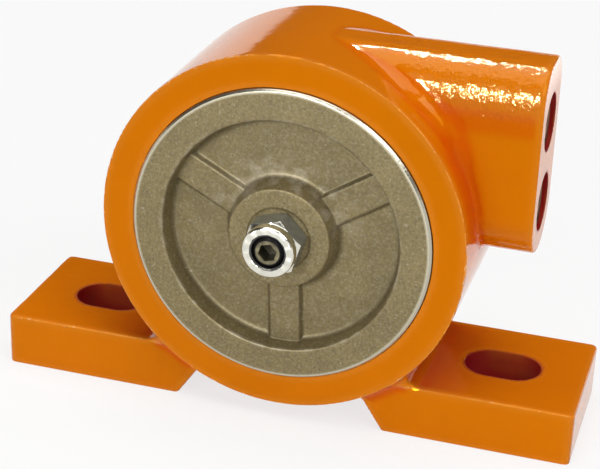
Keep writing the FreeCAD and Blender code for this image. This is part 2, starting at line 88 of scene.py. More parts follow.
def tint(name, description, *channels):
    return FloatVectorProperty(
        name=name, description=description, default=(*channels, 1), size=4, min=0, max=1, subtype="COLOR"
    )


class HousingSizes(bpy.types.PropertyGroup):
    """Sizes of the painted casting."""

    centre_height: length("Shaft height", "Height of the shaft's axis above the mounting plane", 0.0486)
    barrel_radius: length("Barrel radius", "Outer radius of the barrel", 0.04445)
    barrel_front: length("Barrel front", "Place of the barrel's front face along the axis", -0.0221)
    barrel_back: length("Barrel back", "Place of the barrel's back face along the axis", 0.01905)
    front_round: length("Front edge", "Rounding of the barrel's front edge", 0.0004)
    back_round: length("Back edge", "Rounding of the barrel's back edge", 0.0012)
    foot_length: length("Feet length", "Length over both feet", 0.1444)
    foot_depth: length("Feet depth", "Depth of the feet along the axis", 0.0381)
    foot_height: length("Feet height", "Thickness of the feet", 0.0133)
    foot_gap: length("Feet gap", "Free width between the feet on the mounting plane", 0.0526)
    foot_root: length("Feet lean", "How far the feet's inner walls lean in towards the barrel", 0.009)
    foot_fillet: length("Feet fillet", "Hollow between feet and barrel, above and in front", 0.003)
    inner_fillet: length("Inner fillet", "Hollow between feet and barrel, underneath", 0.0025)
    foot_corner: length("Feet corners", "Rounding of the feet's upright corners", 0.0015)
    foot_edge: length("Feet edges", "Rounding of the feet's bottom edges", 0.0003)
    cast_edge: length("Cast edges", "Rounding of the casting's other edges", 0.0006)
    slot_spacing: length("Slot spacing", "Distance between the slots' middles", 0.1032)
    slot_width: length("Slot width", "Width of the slots", 0.013)
    slot_length: length("Slot length", "Length of the slots", 0.0187)
    boss_reach: length("Boss reach", "Distance of the port face from the shaft", 0.0572)
    boss_depth: length("Boss depth", "Thickness of the port boss along the axis", 0.023)
    boss_bottom: length("Boss bottom", "Height of the boss's underside", 0.0458)
    boss_top: length("Boss top", "Height of the boss's top", 0.0927)
    boss_top_round: length("Boss top round", "Rounding along the boss's top", 0.0088)
    boss_bottom_round: length("Boss bottom round", "Rounding along the boss's underside", 0.011)
    boss_fillet: length("Boss fillet", "Hollow between boss and barrel, at the boss's lower half", 0.001)
    shoulder_fillet: length("Shoulder fillet", "Hollow between boss and barrel, at the shoulder", 0.005)
    shoulder_low: length("Shoulder start", "Height over which the boss's hollow grows wider", 0.064)
    shoulder_high: length("Shoulder", "Height at which the boss's hollow is widest", 0.079)
    inlet_height: length("Inlet height", "Height of the air inlet", 0.0778)
    exhaust_height: length("Exhaust height", "Height of the air exhaust", 0.058)
    port_radius: length("Port radius", "Radius of both ports", 0.00686)
    port_depth: length("Port depth", "Depth of both ports", 0.014)
    port_chamfer: length("Port chamfer", "Bevel at the ports' mouths", 0.0001)
    jet_radius: length("Jet radius", "Radius of the inlet's passage", 0.002)
    exhaust_radius: length("Exhaust radius", "Radius of the exhaust's passage", 0.005)
    seat_radius: length("Seat radius", "Radius of the covers' seats", 0.03665)
    chamber_radius: length("Chamber radius", "Radius of the rotor's chamber", 0.0346)
    chamber_half: length("Chamber half", "Half the chamber's length", 0.0114)
    cut_edge: length("Cut edges", "Rounding that paint leaves on machined edges", 0.0002)
    lump_height: length("Lump height", "Height of the unevenness of the cast faces", 0.00004)
    lump_pitch: length("Lump pitch", "Distance between lumps of the cast faces", 0.0042)
    mesh_pitch: length("Mesh pitch", "Size of the casting's faces", 0.00074)


class PortThreadSizes(bpy.types.PropertyGroup):
    """Sizes of the tapered pipe thread in the ports."""

    pitch: length("Pitch", "Distance between turns", 0.00141)
    turns: count("Turns", "Number of turns", 8)
    ridge: length("Ridge", "Radius of the ridge's section", 0.00062)
    taper: length("Taper", "How much the radius shrinks over the thread", 0.00035)
    mouth: length("Mouth", "Distance of the first turn from the port face", 0.0008)


class CoverSizes(bpy.types.PropertyGroup):
    """Sizes of a die-cast cover, its depths measured from the barrel's middle."""

    radius: length("Radius", "Outer radius", 0.0365)
    rim_face: length("Rim face", "Depth of the rim's face", 0.021425)
    hub_face: length("Hub face", "Depth of the hub's face", 0.021575)
    web_floor: length("Web floor", "Depth of the recessed web", 0.016425)
    web_radius: length("Web radius", "Radius of the recess at the rim's face", 0.029)
    web_draft: length("Web draft", "How far the recess's wall leans in", 0.0008)
    hub_radius: length("Hub radius", "Radius of the hub's face", 0.0123)
    hub_draft: length("Hub draft", "How far the hub's wall spreads", 0.0015)
    fillet: length("Fillet", "Hollow at the foot of the walls", 0.0013)
    cast_edge: length("Cast edge", "Rounding of the walls' upper edges", 0.00045)
    rim_chamfer: length("Rim chamfer", "Turned bevel round the rim", 0.0005)
    turned_edge: length("Turned edge", "Rounding of turned edges", 0.00012)
    rib_width: length("Rib width", "Width of the three ribs", 0.0072)
    rib_rise: length("Rib rise", "Height of the ribs over the web", 0.0012)
    rib_slope: length("Rib slope", "Width of the ribs' sloping sides", 0.0008)
    rib_turn: rotation("Rib turn", "Angle of the first rib", 32.5)
    rib_count: count("Ribs", "Number of ribs", 3)
    spot_radius: length("Spot radius", "Radius of the spot face under the nut", 0.0079)
    spot_slope: length("Spot slope", "Width of the spot face's sloping edge", 0.0003)
    nut_seat: length("Nut seat", "Depth of the spot face", 0.021325)
    stud_hole: length("Stud hole", "Radius of the stud's hole", 0.00402)
    sleeve_hole: length("Sleeve hole", "Radius of the sleeve's seat", 0.00601)
    sleeve_end: length("Sleeve end", "Depth of the bottom of the sleeve's seat", 0.0132)
    shoulder_radius: length("Shoulder radius", "Radius of the bearing's shoulder", 0.00795)
    shoulder_face: length("Shoulder face", "Depth of the bearing's shoulder", 0.009)
    back_face: length("Back face", "Depth of the cover's inner face", 0.0114)
    groove_radius: length("Groove radius", "Radius of the seal groove's floor", 0.03441)
    groove_near: length("Groove near", "Depth of the seal groove's inner wall", 0.0145875)
    groove_far: length("Groove far", "Depth of the seal groove's outer wall", 0.0173875)
    lump_height: length("Lump height", "Height of the unevenness of the cast faces", 0.00007)
    lump_pitch: length("Lump pitch", "Distance between lumps of the cast faces", 0.0035)
    segments: count("Segments", "Faces round a cover", 480, least=3)


class NutSizes(bpy.types.PropertyGroup):
    """Sizes of a hexagon nut with a crimped collar, its depths measured from the barrel's middle."""

    flats: length("Flats", "Distance across the flats", 0.0127)
    seat: length("Seat", "Depth of the nut's seat", 0.021325)
    hexagon_end: length("Hexagon end", "Depth of the hexagon's outer face", 0.027625)
    end: length("End", "Depth of the collar's end", 0.030055)
    chamfer_drop: length("Chamfer", "How far the bevel falls at the corners", 0.0007)
    collar_radius: length("Collar radius", "Outer radius of the collar", 0.0063)
    collar_lip: length("Collar lip", "Thickness and rounding of the crimped lip", 0.0005)
    collar_mouth: length("Collar mouth", "Radius of the opening in the crimped lip", 0.0044)
    insert_seat: length("Insert seat", "Inner radius of the collar", 0.0055)
    bore: length("Bore", "Radius of the threaded hole", 0.00402)
    turn: rotation("Turn", "Angle of the nut", 14)
    crimp_count: count("Crimps", "Marks of the crimping tool round the lip", 12)
    crimp_depth: length("Crimp depth", "Depth of the crimping marks", 0.00016)
    segments: count("Segments", "Faces round a nut", 240, least=6)


class FinishColours(bpy.types.PropertyGroup):
    """Colours of the finishes."""

    enamel: tint("Enamel", "Orange paint of the casting", 0.69, 0.176, 0.0008)
    # Painted shade: a darker red for the shade in the casting's hollows and round the boss, where paint also
    # pools
    enamel_pooled_and_shaded: tint("Pooled enamel", "Paint that has run together in the hollows", 0.64, 0.093, 0.001)
    # Paint worn thin along the edges, also standing for the painted highlight that the edges catch
    enamel_thin_and_lit: tint("Thin enamel", "Paint worn thin along the edges", 0.85, 0.38, 0.09)
    # Chips along the edges, also standing for painted glints on them
    enamel_chipped_and_glinting: tint("Chipped enamel", "Chips in the paint along the edges", 0.88, 0.58, 0.30)
    # Dark red primer, made dark enough to stand for the shade deep in the slots and ports as well
    slot_primer: tint("Slot primer", "Dark red coat inside the slots", 0.28, 0.002, 0.012)
    enamel_gloss: tint("Enamel gloss", "Tint of what the paint mirrors when seen straight on", 1.0, 0.6, 0.02)
    shoulder_gloss: tint("Shoulder gloss", "The same where the boss's paint is thickest", 1.0, 0.78, 0.34)
    cover_casting: tint("Cover casting", "Bead-blasted die casting", 0.163, 0.121, 0.045)
    # Dark pits of the die casting, also the painted shade in the cover's corners and beside its ribs
    cover_dark: tint("Cover grime", "Darkened corners of the die casting", 0.078, 0.060, 0.032)
    cover_grains: tint("Cover grains", "Bright grains and nicks of the die casting", 0.32, 0.28, 0.20)
    # Painted light: the die casting made brighter on the upper web and along the recess's edge
    cover_rubbed_and_lit: tint("Worn cover", "Die casting rubbed bright", 0.48, 0.43, 0.335)
    cover_turned: tint("Turned cover", "Turned bevel of the die casting", 0.50, 0.47, 0.37)
    cover_gloss: tint("Cover gloss", "Tint of what the die casting mirrors", 1.0, 0.93, 0.65)
    cut_iron: tint("Cut iron", "Bare thread in the ports", 0.23, 0.13, 0.085)
    zinc: tint("Zinc", "Plating of the nuts", 0.78, 0.77, 0.67)
    # A darker copy of the plating, painted for the shade that the flats mirror
    zinc_dull_and_shaded: tint("Dull zinc", "Plating on the nuts' flats", 0.20, 0.20, 0.165)
    stud: tint("Stud", "Bare stud steel", 0.128, 0.112, 0.064)
    nylon: tint("Nylon", "Locking ring of the nuts", 0.004, 0.003, 0.003)
    rubber: tint("Rubber", "Seals", 0.015, 0.015, 0.016)
    steel: tint("Steel", "Ground bearing steel", 0.56, 0.55, 0.53)
    alloy: tint("Alloy", "Milled rotor alloy", 0.66, 0.66, 0.65)
    brass: tint("Brass", "Bearing cages", 0.68, 0.47, 0.18)
    spring: tint("Spring steel", "Snap rings", 0.09, 0.085, 0.08)


class StageSettings(bpy.types.PropertyGroup):
    """Camera, lamps and paper of the studio."""

    lens: FloatProperty(
        name="Lens", description="Focal length on a 36 mm wide sensor, in millimetres", default=103.816
    )
    camera_place: FloatVectorProperty(
        name="Camera",
        description="Place of the camera",
        default=(0.106807, -0.372543, 0.217577),
        subtype="TRANSLATION",
    )
    frame_shift: FloatVectorProperty(
        name="Shift", description="Shift of the frame, sideways and up", default=(-0.00248, -0.00064), size=2
    )
    overhead_box: wattage("Overhead box", "Power of the soft light overhead", 18.5)
    front_box: wattage("Front box", "Power of the soft light in front", 8.6)
    spark: wattage("Spark lamps", "Power of the small bright lamps, which only gloss shows", 12.0)
    right_box: wattage("Right box", "Power of the soft light on the right", 3.7)
    side_card: wattage("Side card", "Power of the glowing card", 0.5)
    ambient: share("Ambient", "Light from the room", 0.03)
    paper: share("Paper", "Reflectance of floor and backdrop", 0.9)


class DressingSettings(bpy.types.PropertyGroup):
    """All sizes and colours of the dressing."""

    housing: PointerProperty(type=HousingSizes)
    threads: PointerProperty(type=PortThreadSizes)
    cover: PointerProperty(type=CoverSizes)
    nut: PointerProperty(type=NutSizes)
    colours: PointerProperty(type=FinishColours)
    stage: PointerProperty(type=StageSettings)


def settings(group):
    """The values of one group of settings, by name."""
    held = getattr(bpy.context.scene.vibrator_dressing, group)
    return SimpleNamespace(**{name: getattr(held, name) for name in held.__annotations__})


def barrel_middle(sizes):
    """Place of the barrel's middle along the shaft."""
    return (sizes.barrel_front + sizes.barrel_back) / 2


# Shapes made as distance fields: negative inside the metal, zero on its surface


def shared(first, second, edge):
    """What two shapes have in common, its edge rounded."""
    crown = np.hypot(np.maximum(edge + first, 0), np.maximum(edge + second, 0))
    return np.minimum(-edge, np.maximum(first, second)) + crown


def joined(first, second, fillet):
    """Two shapes in one, with a hollow between them."""
    return -shared(-first, -second, fillet)


def box_field(across, up, half_across, half_up, corner):
    """A rectangle about the middle, its corners rounded."""
    return shared(np.abs(across) - half_across, np.abs(up) - half_up, corner)


def drawn_out(outline, along, low, high, edge):
    """An outline drawn out between two places, its end edges rounded."""
    return shared(outline, np.abs(along - (low + high) / 2) - (high - low) / 2, edge)


def unit(vectors):
    return vectors / np.linalg.norm(vectors, axis=1, keepdims=True)


def slope_of(field, points, step):
    """Gradient of a field at some points."""
    slope = np.empty_like(points)
    for axis in range(3):
        ahead = points.copy()
        behind = points.copy()
        ahead[:, axis] += step
        behind[:, axis] -= step
        slope[:, axis] = (field(ahead) - field(behind)) / (2 * step)
    return slope


def ease(low, high, value):
    """Rises smoothly from 0 to 1 as the value passes from low to high."""
    part = np.clip((value - low) / (high - low), 0, 1)
    return part * part * (3 - 2 * part)


# Large odd numbers that scatter a lattice's values
SCATTER = np.array((73856093, 19349663, 83492791))
SEED_SCATTER = 2654435761
SCATTER_AGAIN = 1274126177


def lattice_value(corner, seed):
    """A repeatable value between -1 and 1 for each point of a lattice."""
    mixed = np.bitwise_xor.reduce(corner * SCATTER, axis=1) ^ seed * SEED_SCATTER
    mixed = (mixed ^ (mixed >> 13)) * SCATTER_AGAIN & 0xFFFFFFFF
    mixed = (mixed ^ (mixed >> 16)) & 0xFFFF
    return mixed / 0x7FFF - 1


def unevenness(points, pitch, seed):
    """Smooth lumps and dips between about -1 and 1, a pitch apart."""
    cells = points / pitch
    corner = np.floor(cells).astype(np.int64)
    inside = cells - corner
    blend = inside * inside * inside * (inside * (inside * 6 - 15) + 10)
    total = np.zeros(len(points))
    for step in itertools.product((0, 1), repeat=3):
        weight = np.prod(np.where(step, blend, 1 - blend), axis=1)
        total += weight * lattice_value(corner + step, seed)
    return total


class HousingShape:
    """The casting as a distance field, in metres."""

    SLOPE_STEP = 0.00005
    SMALLEST_FILLET = 1e-6
    # Share of the radius that a round blend of two square faces leaves between corner and surface
    SQUARE_BLEND = 1 - math.sqrt(0.5)
    # Widths over which the feet's hollows change underneath, and over which the boss's hollow begins
    UNDER_FADE = 4 * MM
    BOSS_START = 6 * MM

    # Lumps: their seeds, the height of the finer ones, and what is left of them on the barrel
    LUMP_SEEDS = (3, 5)
    FINE_LUMPS = 0.5
    BARREL_LUMPS = 0.25

    # Every pair from here on gives the distances between which a share goes from none to all
    LUMPS_OFF_BARREL = (0.2 * MM, 2 * MM)
    CAST_OFF_FACE = (0.4 * MM, 1.2 * MM)
    CAST_OFF_CUT = (0, 1.2 * MM)

    # Grain: near the boss and feet, off the barrel, and by the depth under the boss's top
    GRAIN_NEAR = (3 * MM, 0)
    GRAIN_OFF_BARREL = (2 * MM, 5.5 * MM)
    GRAIN_SHOULDER = (15 * MM, 11 * MM)
    GRAIN_TOP = (0.25 * MM, 0.1 * MM)
    BARREL_GRAIN = 0.03
    FEET_GRAIN = 0.15
    BOSS_GRAIN = 0.2
    SHOULDER_GRAIN = 0.4

    # Thick paint: by the depth under the boss's top, off the barrel and near the boss
    THICK_SHOULDER = (12.5 * MM, 10.5 * MM)
    THICK_OFF_BARREL = (0.05 * MM, 0.5 * MM)
    THICK_NEAR = (4 * MM, 1 * MM)

    # Painted shade beside the boss, in the red that the boss throws back: near it, off it, over its underside
    # and under its shoulder
    BESIDE_NEAR = (12 * MM, 5 * MM)
    BESIDE_OFF = (0, 0.3 * MM)
    BESIDE_OVER = (-1 * MM, 4 * MM)
    BESIDE_SHOULDER = 6 * MM
    # Painted shade low on the boss, where its underside faces down: over its underside, and on it
    LOW_OVER = (3.5 * MM, 1.5 * MM)
    LOW_ON = (0.4 * MM, 0)
    # A darker red band across the boss below its shoulder: by the depth under the boss's top, and on the boss
    BAND_START = (9 * MM, 11 * MM)
    BAND_END = (17 * MM, 14 * MM)
    BAND_ON = (1 * MM, 0)
    BAND_AMOUNT = 0.6
    # Painted shade on the feet's tops beside the barrel, less on the left foot: near the barrel, and on their
    # tops
    FOOT_NEAR = (18 * MM, 3 * MM)
    FOOT_ON = (0.3 * MM, 0)
    LEFT_FOOT_AMOUNT = 0.6

    def __init__(self, sizes):
        self.sizes = sizes
        self.middle = barrel_middle(sizes)

    def radius(self, points):
        """Distance from the shaft's axis."""
        return np.hypot(points[:, 0], points[:, 2] - self.sizes.centre_height)

    def barrel(self, points):
        """The barrel, its front and back edges rounded differently."""
        sizes = self.sizes
        edge = np.where(points[:, 1] < self.middle, sizes.front_round, sizes.back_round)
        outline = self.radius(points) - sizes.barrel_radius
        return drawn_out(outline, points[:, 1], sizes.barrel_front, sizes.barrel_back, edge)

    def feet(self, points):
        """Both feet, cut off by the walls that lean in under the barrel."""
        sizes = self.sizes
        across = np.abs(points[:, 0])
        half_length, half_depth = sizes.foot_length / 2, sizes.foot_depth / 2
        plan = box_field(across, points[:, 1], half_length, half_depth, sizes.foot_corner)
        edge = np.where(points[:, 2] < sizes.foot_height / 2, sizes.foot_edge, sizes.cast_edge)
        slab = drawn_out(plan, points[:, 2], 0, sizes.foot_height, edge)
        lean = math.hypot(sizes.foot_root, sizes.foot_height)
        gap = sizes.foot_gap / 2 - across
        inner_wall = (gap * sizes.foot_height - points[:, 2] * sizes.foot_root) / lean
        return shared(slab, inner_wall, sizes.cast_edge)

    def boss(self, points):
        """The port boss, from the shaft's plane to the port face."""
        sizes = self.sizes
        middle = (sizes.boss_bottom + sizes.boss_top) / 2
        up = points[:, 2] - middle
        corner = np.where(up > 0, sizes.boss_top_round, sizes.boss_bottom_round)
        outline = box_field(points[:, 1], up, sizes.boss_depth / 2, sizes.boss_top - middle, corner)
        bar = drawn_out(outline, points[:, 0], -sizes.boss_reach, sizes.boss_reach, sizes.cast_edge)
        return bar + np.maximum(-points[:, 0], 0)

    def blend_radius(self, points, other, fillet):
        """Radius of the hollow that a fillet makes, by the angle at which a shape meets the barrel."""
        first = slope_of(self.barrel, points, self.SLOPE_STEP)
        second = slope_of(other, points, self.SLOPE_STEP)
        both = np.linalg.norm(first, axis=1) * np.linalg.norm(second, axis=1)
        cosine = np.clip(np.sum(first * second, axis=1) / np.maximum(both, 1e-9), -1, 1)
        radius = fillet * (1 - np.sqrt((1 + cosine) / 2)) / self.SQUARE_BLEND
        return np.maximum(radius, self.SMALLEST_FILLET)

    def casting(self, points):
        """The casting before it is machined."""
        sizes = self.sizes
        under = ease(sizes.foot_gap / 2 + self.UNDER_FADE, sizes.foot_gap / 2, np.abs(points[:, 0]))
        foot_fillet = sizes.foot_fillet + (sizes.inner_fillet - sizes.foot_fillet) * under
        shoulder = ease(sizes.shoulder_low, sizes.shoulder_high, points[:, 2])
        boss_fillet = sizes.boss_fillet + (sizes.shoulder_fillet - sizes.boss_fillet) * shoulder
        boss_fillet *= ease(0, self.BOSS_START, points[:, 0])
        solid = self.barrel(points)
        for part, fillet in ((self.feet, foot_fillet), (self.boss, boss_fillet)):
            solid = joined(solid, part(points), self.blend_radius(points, part, fillet))
        return solid

    def bore(self, points):
        """The rotor's chamber and the covers' seats."""
        sizes = self.sizes
        radius = self.radius(points)
        along = np.abs(points[:, 1] - self.middle)
        seats = np.maximum(radius - sizes.seat_radius, sizes.chamber_half - along)
        return np.minimum(radius - sizes.chamber_radius, seats)

    def slots(self, points):
        """The slots through both feet."""
        sizes = self.sizes
        reach = (sizes.slot_length - sizes.slot_width) / 2
        across = np.abs(np.abs(points[:, 0]) - sizes.slot_spacing / 2)
        outline = np.hypot(np.maximum(across - reach, 0), points[:, 1]) - sizes.slot_width / 2
        return np.maximum(outline, points[:, 2] - 2 * sizes.foot_height)

    def port(self, points, height, passage):
        """A bevelled port and the passage behind it."""
        sizes = self.sizes
        radius = np.hypot(points[:, 1], points[:, 2] - height)
        depth = sizes.boss_reach - points[:, 0]
        thread = np.maximum(radius - sizes.port_radius, depth - sizes.port_depth)
        mouth = (radius - sizes.port_radius - sizes.port_chamfer + depth) * math.sqrt(0.5)
        drill = np.maximum(radius - passage, -points[:, 0])
        return np.minimum(np.minimum(thread, mouth), drill)

    def ports(self, points):
        """The air inlet and the air exhaust."""
        sizes = self.sizes
        inlet = self.port(points, sizes.inlet_height, sizes.jet_radius)
        return np.minimum(inlet, self.port(points, sizes.exhaust_height, sizes.exhaust_radius))

    def __call__(self, points):
        """The machined casting."""
        field = self.casting(points)
        for hole in (self.bore, self.slots, self.ports):
            field = shared(field, -hole(points), self.sizes.cut_edge)
        return field

    def plain(self, points):
        """The casting without hollows, which shows where its surface can be."""
        return np.minimum(np.minimum(self.barrel(points), self.feet(points)), self.boss(points))

    def uneven(self, points):
        """The finished casting, with lumps on the faces that are left as cast."""
        sizes = self.sizes
        coarse, fine = self.LUMP_SEEDS
        lumps = unevenness(points, sizes.lump_pitch, coarse)
        lumps += self.FINE_LUMPS * unevenness(points, sizes.lump_pitch / 2, fine)
        off_barrel = ease(*self.LUMPS_OFF_BARREL, self.barrel(points))
        lumps *= self.BARREL_LUMPS + (1 - self.BARREL_LUMPS) * off_barrel
        return self(points) - sizes.lump_height * lumps * self.cast_share(points)

    def cast_share(self, points):
        """1 on faces that are left as cast, 0 on faces that are machined."""
        sizes = self.sizes
        left = np.ones(len(points))
        for distance in (
            points[:, 1] - sizes.barrel_front,
            sizes.barrel_back - points[:, 1],
            sizes.boss_reach - points[:, 0],
            points[:, 2],
        ):
            left *= ease(*self.CAST_OFF_FACE, distance)
        for hole in (self.bore, self.slots):
            left *= ease(*self.CAST_OFF_CUT, hole(points))
        return left

    def grain_share(self, points):
        """How rough the casting is: the boss most, the feet less, the barrel hardly."""
        depth = self.sizes.boss_top - points[:, 2]
        shoulder = ease(*self.GRAIN_SHOULDER, depth) - ease(*self.GRAIN_TOP, depth)
        on_boss = self.BOSS_GRAIN + self.SHOULDER_GRAIN * shoulder
        on_boss *= ease(*self.GRAIN_NEAR, self.boss(points))
        on_boss *= ease(*self.GRAIN_OFF_BARREL, self.barrel(points))
        on_feet = ease(*self.GRAIN_NEAR, self.feet(points))
        grain = self.BARREL_GRAIN + (1 - self.BARREL_GRAIN) * on_boss + self.FEET_GRAIN * on_feet
        return np.clip(grain, 0, 1) * self.cast_share(points)

    def shoulder_share(self, points):
        """1 on the boss's rounded shoulder, where the paint lies thickest."""
        thick = ease(*self.THICK_SHOULDER, self.sizes.boss_top - points[:, 2])
        thick *= ease(*self.THICK_OFF_BARREL, self.barrel(points))
        thick *= ease(*self.THICK_NEAR, self.boss(points))
        return thick * self.cast_share(points)

    def pooled_and_shaded_share(self, points):
        """Painted shade round the boss and on the feet beside the barrel, with a darker band across the boss.
        """
        sizes = self.sizes
        height = points[:, 2]
        depth = sizes.boss_top - height
        over = height - sizes.boss_bottom
        to_boss = self.boss(points)
        beside = ease(*self.BESIDE_NEAR, to_boss) * ease(*self.BESIDE_OFF, to_boss)
        beside *= ease(*self.BESIDE_OVER, over)
        beside *= ease(sizes.shoulder_high, sizes.shoulder_low + self.BESIDE_SHOULDER, height)
        low = ease(*self.LOW_OVER, over) * ease(*self.LOW_ON, to_boss)
        # A darker band across the boss below its shoulder
        run = ease(*self.BAND_START, depth) * ease(*self.BAND_END, depth) * ease(*self.BAND_ON, to_boss)
        foot = ease(*self.FOOT_NEAR, self.barrel(points))
        foot *= ease(*self.FOOT_ON, np.abs(height - sizes.foot_height))
        foot *= np.where(points[:, 0] > 0, 1, self.LEFT_FOOT_AMOUNT)
        return np.clip(beside + low + self.BAND_AMOUNT * run + foot, 0, 1) * self.cast_share(points)


def grid_values(shape, axes, outside, inside):
    """The field on a grid, worked out in full only near where its surface can be."""
    grid = np.stack(np.meshgrid(*axes, indexing="ij"), axis=-1)
    points = grid.reshape(-1, 3)
    values = shape.plain(points)
    near = (values < outside) & (values > -inside)
    values[near] = shape(points[near])
    return values.reshape(grid.shape[:3])


def surface_cells(field, values, axes, pitch, step):
    """One point for each grid cell that the surface crosses, and the quads that join them."""
    shape = tuple(number - 1 for number in values.shape)
    cells, places, normals, corners = [], [], [], []
    for axis in range(3):
        side, other = (axis + 1) % 3, (axis + 2) % 3
        low = np.take(values, range(values.shape[axis] - 1), axis)
        high = np.take(values, range(1, values.shape[axis]), axis)
        crossing = np.argwhere((low < 0) != (high < 0))
        start = low[tuple(crossing.T)]
        end = high[tuple(crossing.T)]
        place = np.stack([axes[number][crossing[:, number]] for number in range(3)], axis=1)
        place[:, axis] += pitch * start / (start - end)
        normal = unit(slope_of(field, place, step))
        around = []
        for side_step, other_step in ((1, 1), (0, 1), (0, 0), (1, 0)):
            cell = crossing.copy()
            cell[:, side] -= side_step
            cell[:, other] -= other_step
            around.append(np.ravel_multi_index(tuple(cell.T), shape))
            places.append(place)
            normals.append(normal)
        cells += around
        quads = np.stack(around, axis=1)
        quads[start > 0] = quads[start > 0][:, ::-1]
        corners.append(quads)
    used, cell = np.unique(np.concatenate(cells), return_inverse=True)
    points = points_on_edges(cell, np.concatenate(places), np.concatenate(normals), pitch)
    return points, np.searchsorted(used, np.concatenate(corners))


# Share of a cell's normals that must stand across the others for an edge to be kept
FLATTEST_EDGE = 0.08


def points_on_edges(cell, places, normals, furthest):
    """For each cell the point nearest to the planes that cross it, on the edge where they meet."""

    def summed(values):
        return np.stack([np.bincount(cell, column) for column in values.T], axis=1)

    middle = summed(places) / np.bincount(cell)[:, None]
    height = np.sum(normals * (places - middle[cell]), axis=1)
    products = summed((normals[:, :, None] * normals[:, None, :]).reshape(-1, 9)).reshape(-1, 3, 3)
    pull = summed(normals * height[:, None])
    solved = np.linalg.pinv(products, rcond=FLATTEST_EDGE, hermitian=True)
    move = np.einsum("nij,nj->ni", solved, pull)
    far = np.linalg.norm(move, axis=1) / furthest
    return middle + move / np.maximum(far, 1)[:, None]


# Least square of a slope that a move is worked out from
LEAST_SLOPE = 0.25


def settle(field, points, rounds, step, furthest):
    """Moves points onto a field's surface and returns them with the surface's normals."""
    for _ in range(rounds):
        slope = slope_of(field, points, step)
        move = field(points) / np.maximum(np.sum(slope * slope, axis=1), LEAST_SLOPE)
        points = points - slope * np.clip(move, -furthest, furthest)[:, None]
    return points, unit(slope_of(field, points, step))


def corner_normals(field, points, normals, quads, step, sharpest):
    """Normals at the faces' corners, those of the face's middle where the surface turns sharply."""
    middle = unit(slope_of(field, points[quads].mean(axis=1), step))[:, None]
    corners = normals[quads]
    sharp = np.sum(corners * middle, axis=2) < math.cos(sharpest)
    return np.where(sharp[..., None], middle, corners).reshape(-1, 3)


def bend_of(points, normals, quads, rounds):
    """How far each point lies under (hollows) or over (edges) its neighbours, smoothed."""
    start, end = np.concatenate([quads[:, [corner, (corner + 1) % 4]] for corner in range(4)]).T
    number = len(points)
    degree = np.maximum(np.bincount(start, minlength=number), 1)

    def averaged(values):
        sums = [np.bincount(start, column[end], minlength=number) for column in values.T]
        return np.stack(sums, axis=1) / degree[:, None]

    bend = np.sum((averaged(points) - points) * normals, axis=1)[:, None]
    for _ in range(rounds):
        bend = (bend + averaged(bend)) / 2
    return bend[:, 0]


def new_object(name, data):
    """An object at the origin of the scene."""
    thing = bpy.data.objects.new(name, data)
    bpy.context.scene.collection.objects.link(thing)
    return thing


def new_piece(name, points, faces, material, normals=None, **attributes):
    """A mesh piece with its place in its mesh."""
    mesh = bpy.data.meshes.new(name)
    mesh.from_pydata(points.tolist(), [], faces)
    mesh.shade_smooth()
    for label, values in attributes.items():
        layer = mesh.attributes.new(label, "FLOAT", "POINT")
        layer.data.foreach_set("value", np.asarray(values, np.float32).ravel())
    if normals is not None:
        mesh.normals_split_custom_set(normals.tolist())
    mesh.materials.append(material)
    if mesh.validate():
        raise RuntimeError(f"{name}: the mesh had faults")
    return new_object(name, mesh)


def lathe_faces(rows, segments):
    """Quads between the rows of a closed turned shape, the last row joined to the first."""
    row, column = np.meshgrid(np.arange(rows), np.arange(segments), indexing="ij")
    row_after = (row + 1) % rows
    column_after = (column + 1) % segments
    corners = (
        row * segments + column,
        row_after * segments + column,
        row_after * segments + column_after,
        row * segments + column_after,
    )
    return np.stack(corners, axis=-1).reshape(-1, 4).tolist()


def soft_profile(corners, arc_points, spacing):
    """A closed profile from corners (radius, depth, rounding), with points along its runs."""
    corner_count = len(corners)
    arcs = []
    for index, (radius, depth, rounding) in enumerate(corners):
        here = np.array((radius, depth))
        before = np.array(corners[index - 1][:2]) - here
        after = np.array(corners[(index + 1) % corner_count][:2]) - here
        if not rounding:
            arcs.append([here])
            continue
        before /= np.linalg.norm(before)
        after /= np.linalg.norm(after)
        half = math.acos(np.clip(before @ after, -1, 1)) / 2
        reach = rounding / math.tan(half)
        middle = here + (before + after) / np.linalg.norm(before + after) * rounding / math.sin(half)
        start = here + before * reach - middle
        end = here + after * reach - middle
        swing = math.atan2(start[0] * end[1] - start[1] * end[0], start @ end)
        arc = []
        for angle in np.linspace(0, swing, arc_points):
            cosine, sine = math.cos(angle), math.sin(angle)
            turned = (cosine * start[0] - sine * start[1], sine * start[0] + cosine * start[1])
            arc.append(middle + turned)
        arcs.append(arc)
    points = []
    for index, arc in enumerate(arcs):
        points += arc
        following = arcs[(index + 1) % corner_count][0]
        run = following - arc[-1]
        steps = int(np.linalg.norm(run) / spacing)
        points += [arc[-1] + run * step / (steps + 1) for step in range(1, steps + 1)]
    return np.array(points)


def turned_points(radius, depth, angle, side):
    """Points in the frame, from a radius, a depth from the barrel's middle and an angle about the shaft."""
    housing = settings("housing")
    facing = 1 if side == "front" else -1
    across = facing * radius * np.cos(angle)
    along = barrel_middle(housing) - facing * depth
    height = housing.centre_height + radius * np.sin(angle)
    return np.stack([across, along, height], axis=-1).reshape(-1, 3)


def feed(tree, target, value):
    """Links a node's input to another socket, or sets it to a plain value."""
    if isinstance(value, bpy.types.NodeSocket):
        tree.links.new(value, target)
    else:
        target.default_value = value


def add_node(tree, kind, inputs=None, **values):
    """A new node with its inputs and its settings."""
    node = tree.nodes.new(kind)
    for name, value in values.items():
        setattr(node, name, value)
    for socket, value in (inputs or {}).items():
        feed(tree, node.inputs[socket], value)
    return node


